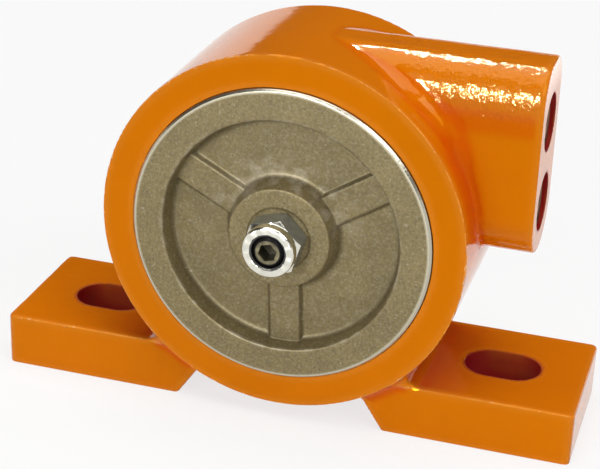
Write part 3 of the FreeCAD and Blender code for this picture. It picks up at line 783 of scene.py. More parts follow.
class Finish:
    """A procedural material, built node by node. Scales of its noise are per metre."""

    # Sockets of a Mix node for colours: amount, first, second and result
    MIX_AMOUNT, MIX_FIRST, MIX_SECOND, MIX_RESULT = 0, 6, 7, 2

    def __init__(self, name):
        self.material = bpy.data.materials.new(name)
        self.material.use_nodes = True
        self.tree = self.material.node_tree
        self.shader = self.tree.nodes["Principled BSDF"]
        self.place = self.add("ShaderNodeTexCoord").outputs["Object"]

    def add(self, kind, inputs=None, **values):
        return add_node(self.tree, kind, inputs, **values)

    def surface(self, **sockets):
        """Sets the shader's sockets and returns the finished material."""
        for name, value in sockets.items():
            label = name.replace("_", " ").title().replace("Ior", "IOR")
            feed(self.tree, self.shader.inputs[label], value)
        return self.material

    def attribute(self, name):
        return self.add("ShaderNodeAttribute", attribute_name=name).outputs["Fac"]

    def along(self, axis):
        return self.add("ShaderNodeSeparateXYZ", {0: self.place}).outputs[axis]

    def stretched(self, scale):
        return self.add("ShaderNodeMapping", {"Vector": self.place, "Scale": scale}).outputs["Vector"]

    def noise(self, scale, detail=2.0, roughness=0.5, place=None):
        inputs = {"Vector": place or self.place, "Scale": scale, "Detail": detail, "Roughness": roughness}
        return self.add("ShaderNodeTexNoise", inputs).outputs["Fac"]

    def between(self, value, low=0.3, high=0.7, to_low=0.0, to_high=1.0):
        """A value's range from low to high, spread over another one."""
        inputs = {"Value": value, "From Min": low, "From Max": high, "To Min": to_low, "To Max": to_high}
        return self.add("ShaderNodeMapRange", inputs).outputs["Result"]

    def patches(self, scale, detail=2.0, roughness=0.5, **spread):
        """Noise whose usual range is spread from 0 to 1, or as given."""
        return self.between(self.noise(scale, detail, roughness), **spread)

    def maths(self, operation, first, second=0.0):
        return self.add("ShaderNodeMath", {0: first, 1: second}, operation=operation).outputs[0]

    def vector(self, operation, *inputs):
        """A sum or product of vectors, or a vector's length."""
        node = self.add("ShaderNodeVectorMath", dict(enumerate(inputs)), operation=operation)
        return node.outputs["Value" if operation == "LENGTH" else "Vector"]

    def mixed(self, amount, first, second):
        inputs = {self.MIX_AMOUNT: amount, self.MIX_FIRST: first, self.MIX_SECOND: second}
        return self.add("ShaderNodeMix", inputs, data_type="RGBA").outputs[self.MIX_RESULT]

    def layered(self, colour, *layers):
        """A colour with others laid over it, each by its amount."""
        for amount, over in layers:
            colour = self.mixed(amount, colour, over)
        return colour

    def bump(self, height, depth, strength=1.0, under=None):
        inputs = {"Height": height, "Distance": depth, "Strength": strength}
        if under is not None:
            inputs["Normal"] = under
        return self.add("ShaderNodeBump", inputs).outputs["Normal"]


def shaded(colour, amount):
    """A colour made darker, or lighter where the amount is over 1."""
    return (*[channel * amount for channel in colour[:3]], 1)


def shaft_radius(finish, centre_height):
    """Distance of each point from the shaft's axis."""
    from_shaft = finish.vector("ADD", finish.place, (0, 0, -centre_height))
    return finish.vector("LENGTH", finish.vector("MULTIPLY", from_shaft, (1, 0, 1)))


# Distances from an edge at which its line of wear and painted highlight ends and is full
WORN_AND_LIT_LINE = (0.5 * MM, 0.12 * MM)


def worn_and_lit_line(finish, first, second):
    """1 along the edge where two distances are nothing, 0 beside it."""
    squares = [finish.maths("MULTIPLY", distance, distance) for distance in (first, second)]
    return finish.between(finish.maths("POWER", finish.maths("ADD", *squares), 0.5), *WORN_AND_LIT_LINE)


def front_edges(finish, sizes):
    """1 along the front edges of the barrel and of the feet's tops."""
    along = finish.along("Y")
    to_rim = finish.maths("SUBTRACT", shaft_radius(finish, sizes.centre_height), sizes.barrel_radius)
    barrel = worn_and_lit_line(finish, to_rim, finish.maths("SUBTRACT", along, sizes.barrel_front))
    to_top = finish.maths("SUBTRACT", finish.along("Z"), sizes.foot_height)
    feet = worn_and_lit_line(finish, finish.maths("ADD", along, sizes.foot_depth / 2), to_top)
    return finish.maths("MAXIMUM", barrel, feet)


def enamel_finish(colours, sizes):
    """Thick glossy paint with painted shade in its hollows, round the boss and inside the slots and ports,
    following the casting's grain, and lighter along its edges for wear and painted highlights.
    """
    finish = Finish("orange_enamel")
    primer = finish.attribute("primer")
    # Wear and painted highlight: a lighter line along the front edges, broken into patches, fainter on the
    # other edges, with chips and painted glints
    front = front_edges(finish, sizes)
    wear_and_highlight = finish.patches(scale=280.0, detail=3.0, low=0.35, high=0.65, to_low=0.2, to_high=0.8)
    elsewhere = finish.between(finish.attribute("edge"), low=0.0, high=1.0, to_high=0.12)
    thin_and_lit = finish.maths("MAXIMUM", finish.maths("MULTIPLY", front, wear_and_highlight), elsewhere)
    chips_and_glints = finish.patches(scale=520.0, detail=3.0, low=0.62, high=0.66)
    paint = finish.layered(
        shaded(colours.enamel, 0.94),
        (finish.patches(scale=38.0, detail=3.0), colours.enamel),
        # Painted shade in the hollows and round the boss, where paint also pools
        (finish.attribute("hollow"), colours.enamel_pooled_and_shaded),
        # Primer with painted shade inside the slots and ports
        (primer, colours.slot_primer),
        # Wear and painted highlight along the edges
        (thin_and_lit, colours.enamel_thin_and_lit),
        # Chips and painted glints on the front edges
        (finish.maths("MULTIPLY", front, chips_and_glints), colours.enamel_chipped_and_glinting),
    )
    peel = finish.bump(finish.noise(scale=1100.0, detail=1.0), depth=0.01 * MM, strength=0.5)
    rough = finish.noise(scale=620.0, detail=2.5, roughness=0.6)
    grain = finish.maths("MULTIPLY", rough, finish.attribute("grain"))
    gloss = finish.patches(scale=160.0, to_low=0.05, to_high=0.10)
    matt = finish.between(primer, low=0.0, high=1.0, to_high=0.5)
    thick = finish.attribute("shoulder")
    return finish.surface(
        base_color=paint,
        roughness=finish.maths("MAXIMUM", gloss, matt),
        normal=finish.bump(grain, depth=0.48 * MM, under=peel),
        ior=1.42,
        specular_tint=finish.mixed(thick, colours.enamel_gloss, colours.shoulder_gloss),
    )


def cover_finish(colours):
    """Bead-blasted die casting with turned edges, painted shade in its corners and beside its ribs, and
    painted light on its upper web and along the recess's edge.
    """
    finish = Finish("cover_die_casting")
    turned = finish.attribute("turned")
    rubbed = finish.patches(scale=300.0, detail=5.0, low=0.45, high=0.95)
    grains = finish.patches(scale=1700.0, low=0.45, high=0.75, to_high=0.48)
    pits = finish.patches(scale=1450.0, low=0.52, high=0.30, to_high=0.62)
    nicks = finish.patches(scale=900.0, detail=3.0, roughness=0.6, low=0.66, high=0.70, to_high=0.55)
    mottle = finish.patches(scale=120.0, detail=4.0, roughness=0.6, low=0.35, high=0.7)
    metal = finish.layered(
        shaded(colours.cover_casting, 0.86),
        (mottle, shaded(colours.cover_casting, 1.1)),
        (grains, colours.cover_grains),
        (pits, colours.cover_dark),
        # Painted shade in the corners and beside the ribs, on a darker web
        (finish.attribute("darker_and_shaded"), colours.cover_dark),
        (nicks, colours.cover_grains),
        # Painted light on the upper web and painted highlight along the recess's edge, in rubbed patches
        (finish.maths("MULTIPLY", finish.attribute("wear_and_highlight"), rubbed), colours.cover_rubbed_and_lit),
        (turned, colours.cover_turned),
    )
    return finish.surface(
        base_color=metal,
        metallic=finish.between(turned, low=0.0, high=1.0, to_low=0.15, to_high=0.95),
        roughness=finish.between(turned, low=0.0, high=1.0, to_low=0.55, to_high=0.25),
        normal=finish.bump(finish.noise(scale=1500.0), depth=0.06 * MM, strength=0.6),
        ior=1.45,
        specular_tint=colours.cover_gloss,
    )


def zinc_finish(colours):
    """Zinc plating, bright on the turned faces, and dull and painted darker on the drawn flats for the shade
    that they mirror.
    """
    finish = Finish("zinc_plating")
    drawn = finish.attribute("drawn")
    cloud = finish.patches(scale=500.0, detail=3.0)
    bright = finish.mixed(cloud, shaded(colours.zinc, 0.85), colours.zinc)
    # Dull plating, painted darker for the shade that the flats mirror
    dull_and_shaded = finish.mixed(cloud, shaded(colours.zinc_dull_and_shaded, 0.7), colours.zinc_dull_and_shaded)
    return finish.surface(
        base_color=finish.mixed(drawn, bright, dull_and_shaded),
        metallic=finish.between(drawn, low=0.0, high=1.0, to_low=1.0, to_high=0.35),
        roughness=finish.patches(scale=900.0, to_low=0.14, to_high=0.26),
        normal=finish.bump(finish.noise(scale=700.0), depth=0.03 * MM, strength=0.5),
    )


# Radii between which the stud's end passes into painted shade at its thread's edge, and depths over which
# painted shade darkens its socket
STUD_EDGE_SHADE = (2.8 * MM, 3.0 * MM)
STUD_SOCKET_SHADE = (0.1 * MM, 1.2 * MM)


def stud_finish(colours, centre_height):
    """Cut steel of a brownish colour, with turning marks, and painted shade at its thread's edge and in its
    socket.
    """
    finish = Finish("stud_steel")
    near, far = [corner[1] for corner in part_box("centre_stud")]
    from_middle = finish.maths("ABSOLUTE", finish.maths("SUBTRACT", finish.along("Y"), (near + far) / 2))
    inwards = finish.maths("SUBTRACT", (far - near) / 2, from_middle)
    marks = finish.noise(scale=1500.0, place=finish.stretched((1, 0.2, 1)))
    steel = finish.layered(
        shaded(colours.stud, 0.6),
        (finish.patches(scale=600.0, detail=4.0, low=0.35, high=0.65), shaded(colours.stud, 1.25)),
        # Painted shade in the socket and at the edge of the thread
        (finish.between(inwards, *STUD_SOCKET_SHADE), shaded(colours.stud, 0.25)),
        (finish.between(shaft_radius(finish, centre_height), *STUD_EDGE_SHADE), colours.nylon),
    )
    return finish.surface(
        base_color=steel,
        metallic=0.75,
        roughness=finish.between(marks, to_low=0.32, to_high=0.5),
        normal=finish.bump(marks, depth=0.03 * MM, strength=0.5),
    )


def moulded_finish(name, colour, grain, gloss):
    """Plain moulded plastic or rubber with a faint grain."""
    finish = Finish(name)
    return finish.surface(
        base_color=finish.mixed(finish.patches(scale=grain / 4), colour, shaded(colour, 1.8)),
        roughness=finish.patches(scale=grain, to_low=gloss - 0.08, to_high=gloss + 0.08),
        normal=finish.bump(finish.noise(scale=grain), depth=0.02 * MM, strength=0.4),
    )


def ground_finish(name, colour, stretch, grain, gloss):
    """Ground, turned or milled metal, its marks drawn out by the stretch of their pattern."""
    finish = Finish(name)
    marks = finish.noise(scale=grain, detail=3.0, roughness=0.6, place=finish.stretched(stretch))
    film = finish.patches(scale=90.0, detail=3.0, low=0.35, high=0.7)
    return finish.surface(
        base_color=finish.mixed(film, shaded(colour, 0.86), colour),
        metallic=1.0,
        roughness=finish.between(marks, to_low=gloss - 0.06, to_high=gloss + 0.08),
        normal=finish.bump(marks, depth=0.02 * MM, strength=0.35),
    )


def keep_finish(nodes, material):
    """Gives CAD nodes a finish without touching their meshes' points."""
    for name in nodes:
        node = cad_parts[name]
        node.data.materials.clear()
        node.data.materials.append(material)


class CastHousing(bpy.types.Operator):
    """Casts the painted housing with its hollows, lumps and rounded edges"""

    bl_idname = "vibrator.cast_housing"
    bl_label = "Cast housing"

    # Half a cell more than whole cells, so that no flat face lies on a plane of the grid
    MARGIN = 2.5
    # How far outside and inside the plain casting its finished surface can lie
    BLEND_REACH = 7 * MM
    BORE_REACH = 56 * MM
    # Rounds that settle the points on the surface, smooth its bends, and settle the points on its lumps
    ROUNDS = 4
    BEND_ROUNDS = 2
    LUMP_ROUNDS = 2
    SLOPE_STEP = 0.00006
    # Turn within half a face beyond which an edge is shaded crisp
    SHARPEST = math.radians(18)
    # Distances from a slot or port between which its primer and painted shade begin, and the wear and painted
    # highlight of other edges
    PRIMER_AND_SHADE = (0.3 * MM, 0)
    WEAR_AND_LIGHT_OFF_CUT = (0.3 * MM, 1.5 * MM)
    # Bends at which a hollow counts as full painted shade, and an edge as full wear and painted highlight
    HOLLOW = 0.00003
    EDGE = 0.00006

    def execute(self, context):
        sizes = settings("housing")
        shape = HousingShape(sizes)
        pitch = sizes.mesh_pitch
        margin = pitch * self.MARGIN
        axes = [np.arange(low - margin, high + margin, pitch) for low, high in zip(*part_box("housing"))]
        values = grid_values(shape, axes, self.BLEND_REACH, self.BORE_REACH)
        points, quads = surface_cells(shape, values, axes, pitch, self.SLOPE_STEP)
        points, normals = settle(shape, points, self.ROUNDS, self.SLOPE_STEP, pitch / 2)
        bend = bend_of(points, normals, quads, self.BEND_ROUNDS)
        points, normals = settle(shape.uneven, points, self.LUMP_ROUNDS, self.SLOPE_STEP, pitch / 2)
        cuts = np.minimum(shape.slots(points), shape.ports(points))
        piece = new_piece(
            "housing_casting",
            points,
            quads.tolist(),
            enamel_finish(settings("colours"), sizes),
            corner_normals(shape.uneven, points, normals, quads, self.SLOPE_STEP, self.SHARPEST),
            grain=shape.grain_share(points),
            shoulder=shape.shoulder_share(points),
            # Primer with painted shade inside the slots and ports
            primer=ease(*self.PRIMER_AND_SHADE, cuts),
            # Painted shade in the hollows, where the paint also pools, and round the boss and on the feet
            hollow=np.clip(bend / self.HOLLOW + shape.pooled_and_shaded_share(points), 0, 1),
            # Wear and painted highlight on the convex edges, off the slots and ports
            edge=np.clip(-bend / self.EDGE, 0, 1) * ease(*self.WEAR_AND_LIGHT_OFF_CUT, cuts),
        )
        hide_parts("housing")
        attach(piece, "housing")
        return {"FINISHED"}


# Inputs of the thread's node tree
THREAD_INPUTS = {
    "Turns": "NodeSocketFloat",
    "Start Radius": "NodeSocketFloat",
    "End Radius": "NodeSocketFloat",
    "Height": "NodeSocketFloat",
    "Ridge": "NodeSocketFloat",
    "Turn Points": "NodeSocketInt",
    "Ridge Points": "NodeSocketInt",
    "Ports": "NodeSocketInt",
    "First Port": "NodeSocketVector",
    "Port Step": "NodeSocketVector",
}


def thread_tree(material):
    """A node tree that winds a tapered thread in each of a row of ports."""
    tree = bpy.data.node_groups.new("port_thread", "GeometryNodeTree")
    tree.interface.new_socket("Geometry", in_out="OUTPUT", socket_type="NodeSocketGeometry")
    for name, kind in THREAD_INPUTS.items():
        tree.interface.new_socket(name, in_out="INPUT", socket_type=kind)
    given = add_node(tree, "NodeGroupInput").outputs

    def made(kind, output, **inputs):
        named = {name.replace("_", " "): value for name, value in inputs.items()}
        return add_node(tree, "GeometryNode" + kind, named).outputs[output]

    spiral = made(
        "CurveSpiral",
        "Curve",
        Resolution=given["Turn Points"],
        Rotations=given["Turns"],
        Start_Radius=given["Start Radius"],
        End_Radius=given["End Radius"],
        Height=given["Height"],
    )
    section = made("CurvePrimitiveCircle", "Curve", Resolution=given["Ridge Points"], Radius=given["Ridge"])
    ridge = made("CurveToMesh", "Mesh", Curve=spiral, Profile_Curve=section, Fill_Caps=True)
    into_port = made("Transform", "Geometry", Geometry=ridge, Rotation=(0, -math.pi / 2, 0))
    first, step = given["First Port"], given["Port Step"]
    ports = made("MeshLine", "Mesh", Count=given["Ports"], Start_Location=first, Offset=step)
    placed = made("InstanceOnPoints", "Instances", Points=ports, Instance=into_port)
    real = made("RealizeInstances", "Geometry", Geometry=placed)
    painted = made("SetMaterial", "Geometry", Geometry=real, Material=material)
    add_node(tree, "NodeGroupOutput", {"Geometry": painted})
    return tree


def made_plain(name, tree, values):
    """The mesh that a node tree makes, as a plain piece."""
    holder = new_object(name + "_tree", bpy.data.meshes.new(name + "_tree"))
    modifier = holder.modifiers.new("shape", "NODES")
    modifier.node_group = tree
    for item in tree.interface.items_tree:
        if item.in_out == "INPUT":
            modifier[item.identifier] = values[item.name]
    evaluated = holder.evaluated_get(bpy.context.evaluated_depsgraph_get())
    mesh = bpy.data.meshes.new_from_object(evaluated)
    bpy.data.objects.remove(holder)
    if not mesh.polygons:
        raise RuntimeError(f"{name}: the node tree made no faces")
    mesh.name = name
    mesh.shade_smooth()
    return new_object(name, mesh)


# Stretch of a pattern for marks without a direction, and for marks round the shaft
EVEN = (1, 1, 1)
ROUND_SHAFT = (1, 30, 1)


class CutPortThreads(bpy.types.Operator):
    """Winds the tapered pipe thread in both air ports"""

    bl_idname = "vibrator.cut_port_threads"
    bl_label = "Cut port threads"

    GRAIN = 900.0
    GLOSS = 0.42
    TURN_POINTS = 40
    RIDGE_POINTS = 6
    PORTS = 2

    def execute(self, context):
        housing = settings("housing")
        sizes = settings("threads")
        material = ground_finish("cut_iron", settings("colours").cut_iron, EVEN, self.GRAIN, self.GLOSS)
        values = {
            "Turns": float(sizes.turns),
            "Start Radius": housing.port_radius,
            "End Radius": housing.port_radius - sizes.taper,
            "Height": sizes.pitch * sizes.turns,
            "Ridge": sizes.ridge,
            "Turn Points": self.TURN_POINTS,
            "Ridge Points": self.RIDGE_POINTS,
            "Ports": self.PORTS,
            "First Port": (housing.boss_reach - sizes.mouth, 0, housing.exhaust_height),
            "Port Step": (0, 0, housing.inlet_height - housing.exhaust_height),
        }
        piece = made_plain("port_threads", thread_tree(material), values)
        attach(piece, "housing")
        return {"FINISHED"}


class TurnCovers(bpy.types.Operator):
    """Makes both covers with rim, ribbed web, hub and spot face"""

    bl_idname = "vibrator.turn_covers"
    bl_label = "Turn covers"

    ARC_POINTS = 6
    SPACING = 0.7 * MM
    LUMP_SEED = 7
    # Depth under the web's floor that still counts as recess
    FLOOR_SLACK = 0.01 * MM
    # Reach of the turned bevel, as a share of the rim's chamfer
    BEVEL_REACH = 1.1

    # Each pair gives the distances between which painted shade or painted light goes from none to all:
    # over the web's floor, from the walls, from the hub, from the recess's edge, and the sine of the angle
    SHADE_OVER = (2.6 * MM, -0.2 * MM)
    SHADE_WALL = (2.6 * MM, 0.9 * MM)
    LIGHT_OFF_HUB = (7 * MM, 2 * MM)
    EDGE_HIGHLIGHT = (0.6 * MM, 0.1 * MM)
    LIGHT_UPPER = (-0.2, 0.6)
    EDGE_HIGHLIGHT_DEPTH = 0.5 * MM
    # How much darker the web is, how much painted shade lies in its corners and beside its ribs, and how much
    # painted light lies on the upper web
    WEB_DARKER = 0.06
    CORNER_SHADE = 0.5
    RIB_SHADE = 0.35
    WEB_LIGHT = 0.8

    def profile(self, sizes):
        """Radius, depth and rounding of the cover's corners, from the stud's hole round to the spot face."""
        floor_radius = sizes.web_radius - sizes.web_draft
        hub_foot = sizes.hub_radius + sizes.hub_draft
        fine = sizes.turned_edge
        return [
            (sizes.stud_hole, sizes.sleeve_end, 0),
            (sizes.sleeve_hole, sizes.sleeve_end, 0),
            (sizes.sleeve_hole, sizes.shoulder_face, 0),
            (sizes.shoulder_radius, sizes.shoulder_face, fine),
            (sizes.shoulder_radius, sizes.back_face, 0),
            (sizes.radius, sizes.back_face, fine),
            (sizes.radius, sizes.groove_near, 0),
            (sizes.groove_radius, sizes.groove_near, 0),
            (sizes.groove_radius, sizes.groove_far, 0),
            (sizes.radius, sizes.groove_far, 0),
            (sizes.radius, sizes.rim_face - sizes.rim_chamfer, fine),
            (sizes.radius - sizes.rim_chamfer, sizes.rim_face, fine),
            (sizes.web_radius, sizes.rim_face, sizes.cast_edge),
            (floor_radius, sizes.web_floor, sizes.fillet),
            (hub_foot, sizes.web_floor, sizes.fillet),
            (sizes.hub_radius, sizes.hub_face, sizes.cast_edge),
            (sizes.spot_radius, sizes.hub_face, fine),
            (sizes.spot_radius - sizes.spot_slope, sizes.nut_seat, 0),
            (sizes.stud_hole, sizes.nut_seat, 0),
        ]

    def beside_ribs(self, sizes, radius, angle):
        """Distance from the middle of the nearest rib."""
        beside = np.full(angle.shape, np.inf)
        for number in range(sizes.rib_count):
            turn = angle - sizes.rib_turn - 2 * math.pi * number / sizes.rib_count
            ahead = np.cos(turn) > 0
            beside = np.minimum(beside, np.where(ahead, np.abs(radius * np.sin(turn)), np.inf))
        return beside

    def with_web(self, sizes, radius, depth, angle, beside, recess):
        """The profile's depths with the ribs and the lumps of the recessed web."""
        half = sizes.rib_width / 2
        raised = sizes.web_floor + sizes.rib_rise * ease(half + sizes.rib_slope, half, beside)
        depth = np.where(recess, np.maximum(depth, raised), depth)
        flat = np.stack([radius * np.cos(angle), depth, radius * np.sin(angle)], axis=-1).reshape(-1, 3)
        lumps = unevenness(flat, sizes.lump_pitch, self.LUMP_SEED).reshape(depth.shape)
        return np.where(recess, depth + sizes.lump_height * lumps, depth)

    def marks(self, sizes, radius, depth, angle, beside, recess):
        """Where the cover has painted shade, is turned bright, and has painted light."""
        to_wall = np.minimum(sizes.web_radius - radius, radius - sizes.hub_radius)
        # Painted shade in the corners of the recess and beside the ribs, on a darker web
        corner = ease(*self.SHADE_OVER, depth - sizes.web_floor) * ease(*self.SHADE_WALL, to_wall)
        rib_side = ease(sizes.rib_slope, 0, np.abs(beside - sizes.rib_width / 2 - sizes.rib_slope / 2))
        darker_and_shaded = recess * (self.WEB_DARKER + self.CORNER_SHADE * corner + self.RIB_SHADE * rib_side)
        bevel = radius > sizes.radius - sizes.rim_chamfer * self.BEVEL_REACH
        # Painted light: lighter towards the top of the web, and a painted highlight along the recess's edge
        web = recess * ease(*self.LIGHT_OFF_HUB, radius - sizes.hub_radius - sizes.hub_draft)
        web *= self.WEB_LIGHT * ease(*self.LIGHT_UPPER, np.sin(angle))
        edge = ease(*self.EDGE_HIGHLIGHT, np.abs(radius - sizes.web_radius))
        edge *= depth > sizes.rim_face - self.EDGE_HIGHLIGHT_DEPTH
        return {
            "darker_and_shaded": np.clip(darker_and_shaded, 0, 1),
            "turned": bevel & (depth > sizes.groove_far),
            "wear_and_highlight": np.clip(web + edge, 0, 1),
        }

    def execute(self, context):
        sizes = settings("cover")
        material = cover_finish(settings("colours"))
        profile = soft_profile(self.profile(sizes), self.ARC_POINTS, self.SPACING)
        angles = np.linspace(0, 2 * math.pi, sizes.segments, endpoint=False)
        radius, angle = np.meshgrid(profile[:, 0], angles, indexing="ij")
        depth = np.repeat(profile[:, 1][:, None], sizes.segments, axis=1)
        beside = self.beside_ribs(sizes, radius, angle)
        recess = depth > sizes.web_floor - self.FLOOR_SLACK
        recess &= (radius > sizes.hub_radius) & (radius < sizes.web_radius)
        depth = self.with_web(sizes, radius, depth, angle, beside, recess)
        marks = self.marks(sizes, radius, depth, angle, beside, recess)
        faces = lathe_faces(len(profile), sizes.segments)
        for side in SIDES:
            points = turned_points(radius, depth, angle, side)
            piece = new_piece(f"{side}_cover_casting", points, faces, material, **marks)
            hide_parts(f"{side}_cover")
            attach(piece, "housing")
        return {"FINISHED"}


class FitLockNuts(bpy.types.Operator):
    """Makes the plated hexagon nuts with their crimped collars"""

    bl_idname = "vibrator.fit_lock_nuts"
    bl_label = "Fit lock nuts"

    FACETS = 6
    # Power that keeps the hexagon's corners slightly round, and the angle over which edges are sharp
    SHARPNESS = 90
    CREASE = math.radians(38)
    # Rows of points at the lower and upper ends of the flats
    FLAT_ROWS = slice(3, 5)

    # Radius of the seat's face, as a share of the flats'
    SEAT_FACE = 0.97
    # Width of the bevel at the seat, and height of the edges beside the flats
    SEAT_BEVEL = 0.1 * MM
    FLAT_EDGE = 0.12 * MM
    # Widths of the upper edge and of the bevel within it, and the share of the fall that it keeps
    TOP_EDGE = 0.04 * MM
    TOP_BEVEL = 0.14 * MM
    TOP_FALL = 0.95
    # Width and height of the hollow at the collar's foot
    FOOT_WIDTH = 0.03 * MM
    FOOT_HEIGHT = 0.05 * MM
    # Rounding of the lip, as a share of its thickness, its number of steps, and its inner bevel
    LIP_ROUND = 1.6
    LIP_STEPS = 6
    LIP_BEVEL = 0.12 * MM

    def rows(self, sizes, angles):
        """Radius and depth round the nut, from the bore over the outside and back."""
        step = 2 * math.pi / self.FACETS
        flat = sizes.flats / 2
        turns = [angles - sizes.turn - step * (number + 0.5) for number in range(self.FACETS)]
        facing = np.maximum(np.cos(turns), 0)
        hexagon = flat / np.sum(facing**self.SHARPNESS, axis=0) ** (1 / self.SHARPNESS)
        fall = sizes.chamfer_drop * (hexagon - flat) / (flat / math.cos(step / 2) - flat)
        fall = np.maximum(fall, 0)
        top = sizes.hexagon_end
        foot = sizes.collar_radius + self.FOOT_WIDTH
        rounding = self.LIP_ROUND * sizes.collar_lip
        inner = sizes.collar_radius - rounding
        shoulder = sizes.end - rounding
        lip = sizes.end - sizes.crimp_depth * (0.5 + 0.5 * np.cos(angles * sizes.crimp_count))
        bends = [math.pi / 2 * number / self.LIP_STEPS for number in range(1, self.LIP_STEPS + 1)]
        round_lip = [
            (inner + rounding * math.cos(bend), shoulder + (lip - shoulder) * math.sin(bend))
            for bend in bends
        ]
        return [
            (sizes.bore, sizes.seat),
            (flat * self.SEAT_FACE, sizes.seat),
            (hexagon - self.SEAT_BEVEL, sizes.seat + fall),
            (hexagon, sizes.seat + fall + self.FLAT_EDGE),
            (hexagon, top - fall - self.FLAT_EDGE),
            (hexagon - self.TOP_EDGE, top - fall - self.TOP_EDGE),
            (np.maximum(hexagon - self.TOP_BEVEL, foot), top - fall * self.TOP_FALL),
            (foot, top),
            (sizes.collar_radius, top + self.FOOT_HEIGHT),
            (sizes.collar_radius, shoulder),
            *round_lip,
            (sizes.collar_mouth + self.LIP_BEVEL, lip),
            (sizes.collar_mouth, lip - self.LIP_BEVEL),
            (sizes.collar_mouth, sizes.end - sizes.collar_lip),
            (sizes.insert_seat, sizes.end - sizes.collar_lip),
            (sizes.insert_seat, top),
            (sizes.bore, top),
        ]

    def execute(self, context):
        sizes = settings("nut")
        material = zinc_finish(settings("colours"))
        angles = np.linspace(0, 2 * math.pi, sizes.segments, endpoint=False)
        rows = [np.broadcast_arrays(*row, angles) for row in self.rows(sizes, angles)]
        radius, depth, angle = np.stack(rows, axis=1)
        drawn = np.zeros(radius.shape)
        drawn[self.FLAT_ROWS] = 1
        faces = lathe_faces(len(rows), sizes.segments)
        for side in SIDES:
            points = turned_points(radius, depth, angle, side)
            piece = new_piece(f"{side}_nut_plated", points, faces, material, drawn=drawn)
            piece.data.set_sharp_from_angle(angle=self.CREASE)
            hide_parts(f"{side}_lock_nut")
            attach(piece, "housing")
        return {"FINISHED"}


def both(*kinds):
    """Names of the front and rear nodes of some kinds."""
    return [f"{side}_{kind}" for kind in kinds for side in SIDES]


class FinishInnerParts(bpy.types.Operator):
    """Gives the stud, seals, bearings and rotor their finishes"""

    bl_idname = "vibrator.finish_inner_parts"
    bl_label = "Finish inner parts"

    def execute(self, context):
        colours = settings("colours")
        keep_finish(["centre_stud"], stud_finish(colours, settings("housing").centre_height))
        # Nodes, finish, colour, grain per metre and gloss as a roughness
        for nodes, *finish in (
            (both("nut_insert"), "black_nylon", colours.nylon, 700.0, 0.38),
            (both("cover_seal"), "seal_rubber", colours.rubber, 900.0, 0.55),
        ):
            keep_finish(nodes, moulded_finish(*finish))
        sawn = shaded(colours.steel, 0.7)
        pressed = shaded(colours.steel, 0.9)
        # Nodes, finish, colour, stretch of the marks, grain per metre and gloss as a roughness
        for nodes, *finish in (
            (["shaft_sleeve", "inner_ring_spacer"], "ground_steel", colours.steel, ROUND_SHAFT, 300.0, 0.2),
            (["turbine_rotor"], "milled_alloy", colours.alloy, ROUND_SHAFT, 220.0, 0.32),
            (["rotor_weights"], "sawn_steel", sawn, EVEN, 500.0, 0.4),
            (both("inner_ring", "outer_ring"), "bearing_steel", colours.steel, ROUND_SHAFT, 420.0, 0.16),
            (both("bearing_balls"), "ball_steel", colours.steel, EVEN, 150.0, 0.12),
            (both("bearing_cage"), "cage_brass", colours.brass, ROUND_SHAFT, 380.0, 0.28),
            (both("bearing_shields"), "shield_steel", pressed, EVEN, 800.0, 0.3),
            (both("snap_ring"), "spring_steel", colours.spring, EVEN, 600.0, 0.36),
        ):
            keep_finish(nodes, ground_finish(*finish))
        return {"FINISHED"}


def paper_finish(reflectance):
    """Paper that shows as white, more so far from the object, and keeps shadows near it."""
    finish = Finish("white_paper")
    finish.tree.nodes.remove(finish.shader)
    path = finish.add("ShaderNodeLightPath").outputs
    seen = finish.maths("MAXIMUM", path["Is Camera Ray"], path["Is Glossy Ray"])
    seen = finish.maths("MAXIMUM", seen, path["Is Transmission Ray"])
    away = finish.vector("LENGTH", finish.place)
    white = finish.between(away, low=0.2, high=0.9, to_low=0.75, to_high=1.0)
    matt = finish.add("ShaderNodeBsdfDiffuse", {"Color": (reflectance, reflectance, reflectance, 1)})
    lit = finish.add("ShaderNodeEmission", {"Color": (1, 1, 1, 1), "Strength": 1.0})
    glow = finish.maths("MULTIPLY", seen, white)
    mix = finish.add("ShaderNodeMixShader", {0: glow, 1: matt.outputs[0], 2: lit.outputs[0]})
    finish.tree.links.new(mix.outputs[0], finish.tree.nodes["Material Output"].inputs["Surface"])
    return finish.material


# Radius and height of the studio paper: a floor that curves up into a low wall
PAPER_ROWS = ((0.02, 0), (0.3, 0), (1, 0), (2, 0), (2.3, 0.06), (2.42, 0.16), (2.48, 0.3), (2.5, 0.5))
PAPER_SEGMENTS = 96


def studio_paper(material):
    """A round floor with a low wall round it."""
    angles = np.linspace(0, 2 * math.pi, PAPER_SEGMENTS, endpoint=False)
    points = [
        (radius * math.cos(angle), radius * math.sin(angle), height)
        for radius, height in PAPER_ROWS
        for angle in angles
    ]
    rings = lathe_faces(len(PAPER_ROWS), PAPER_SEGMENTS)[:-PAPER_SEGMENTS]
    return new_piece("studio_paper", np.array(points), [range(PAPER_SEGMENTS), *rings], material)


def new_lamp(name, power, width, depth, place, target):
    """A soft lamp that lights the object and shows in its gloss, but not to the camera."""
    light = bpy.data.lights.new(name, "AREA")
    light.shape = "RECTANGLE"
    light.size = width
    light.size_y = depth
    light.energy = power
    lamp = new_object(name, light)
    lamp.location = place
    lamp.rotation_euler = (Vector(target) - Vector(place)).to_track_quat("-Z", "Y").to_euler()
    lamp.visible_camera = False
    return lamp


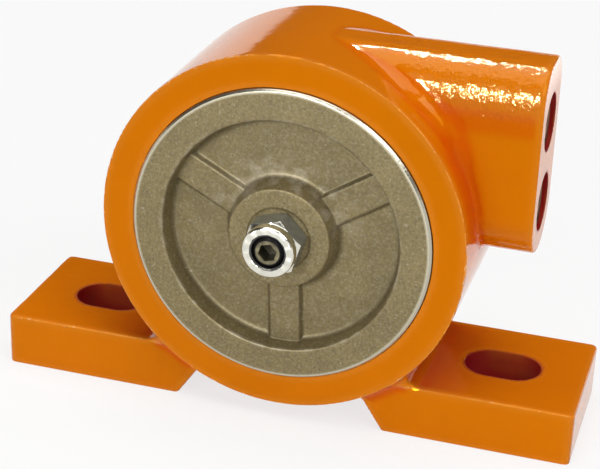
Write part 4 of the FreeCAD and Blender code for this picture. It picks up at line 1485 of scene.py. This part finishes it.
class SetStage(bpy.types.Operator):
    """Sets up the paper, the lamps and the camera"""

    bl_idname = "vibrator.set_stage"
    bl_label = "Set stage"

    MIDDLE = Vector((0, 0, 0.05))
    # Distances of the large soft boxes and of the other lamps from the middle
    FAR = 1.5
    NEAR = 1.1
    # Size and place of the glowing card beside the object, and the point that it faces
    CARD_SIZE = (0.34, 0.5)
    CARD_PLACE = (0.26, 0.26, 0.002)
    CARD_TARGET = (0.26, 0.26, 1)
    CAMERA_RIGHT = (0.95525, 0.29367, 0.0355)
    CAMERA_UP = (-0.1534, 0.38915, 0.90831)
    SENSOR = 36.0
    CLIP_START = 0.01

    def execute(self, context):
        scene = context.scene
        values = settings("stage")
        scene.view_settings.view_transform = "Standard"

        world = bpy.data.worlds.new("studio_room")
        world.use_nodes = True
        room = world.node_tree.nodes["Background"]
        room.inputs["Color"].default_value = (1, 1, 1, 1)
        room.inputs["Strength"].default_value = values.ambient
        scene.world = world

        studio_paper(paper_finish(values.paper))
        # Name, power, width, direction from the middle and distance
        for name, power, width, direction, distance in (
            ("overhead_box", values.overhead_box, 1.4, (0.0, 0.02, 0.99), self.FAR),
            ("front_box", values.front_box, 1.2, (-0.25, -0.90, 0.35), self.FAR),
            ("overhead_spark", values.spark * 0.9, 0.07, (-0.17, 0.47, 0.866), self.NEAR),
            ("front_spark", values.spark * 2, 0.15, (-0.17, -0.90, 0.36), self.NEAR),
            ("hollow_spark", values.spark * 0.75, 0.12, (0.05, -0.99, 0.10), self.NEAR),
            ("right_box", values.right_box, 0.5, (0.635, -0.416, 0.652), self.NEAR),
        ):
            place = self.MIDDLE + Vector(direction) * distance
            lamp = new_lamp(name, power, width, width, place, self.MIDDLE)
            # Only gloss shows the spark lamps
            lamp.visible_diffuse = not name.endswith("spark")
        new_lamp("side_card", values.side_card, *self.CARD_SIZE, self.CARD_PLACE, self.CARD_TARGET)

        right = Vector(self.CAMERA_RIGHT).normalized()
        up = Vector(self.CAMERA_UP)
        up = (up - right * up.dot(right)).normalized()
        turn = Matrix((right, up, right.cross(up))).transposed().to_4x4()
        view = bpy.data.cameras.new("camera")
        view.sensor_width = self.SENSOR
        view.sensor_fit = "HORIZONTAL"
        view.lens = values.lens
        view.shift_x, view.shift_y = values.frame_shift
        view.clip_start = self.CLIP_START
        camera = new_object("camera", view)
        camera.matrix_world = Matrix.Translation(values.camera_place) @ turn
        scene.camera = camera
        return {"FINISHED"}


class DressingPanel(bpy.types.Panel):
    """Lists the steps of the dressing and their settings"""

    bl_idname = "VIBRATOR_PT_dressing"
    bl_label = "Vibrator dressing"
    bl_space_type = "VIEW_3D"
    bl_region_type = "UI"
    bl_category = "Vibrator"

    def draw(self, context):
        held = context.scene.vibrator_dressing
        for operator, group in STEPS:
            box = self.layout.box()
            box.operator(operator.bl_idname)
            for name in getattr(held, group).__annotations__:
                box.prop(getattr(held, group), name)


STEPS = (
    (CastHousing, "housing"),
    (CutPortThreads, "threads"),
    (TurnCovers, "cover"),
    (FitLockNuts, "nut"),
    (FinishInnerParts, "colours"),
    (SetStage, "stage"),
)
CLASSES = (
    HousingSizes,
    PortThreadSizes,
    CoverSizes,
    NutSizes,
    FinishColours,
    StageSettings,
    DressingSettings,
    *(operator for operator, _ in STEPS),
    DressingPanel,
)


def register():
    for item in CLASSES:
        bpy.utils.register_class(item)
    bpy.types.Scene.vibrator_dressing = PointerProperty(type=DressingSettings)


def unregister():
    del bpy.types.Scene.vibrator_dressing
    for item in reversed(CLASSES):
        bpy.utils.unregister_class(item)


def main():
    register()
    bpy.ops.vibrator.cast_housing()
    bpy.ops.vibrator.cut_port_threads()
    bpy.ops.vibrator.turn_covers()
    bpy.ops.vibrator.fit_lock_nuts()
    bpy.ops.vibrator.finish_inner_parts()
    bpy.ops.vibrator.set_stage()


if __name__ == "__main__":
    main()
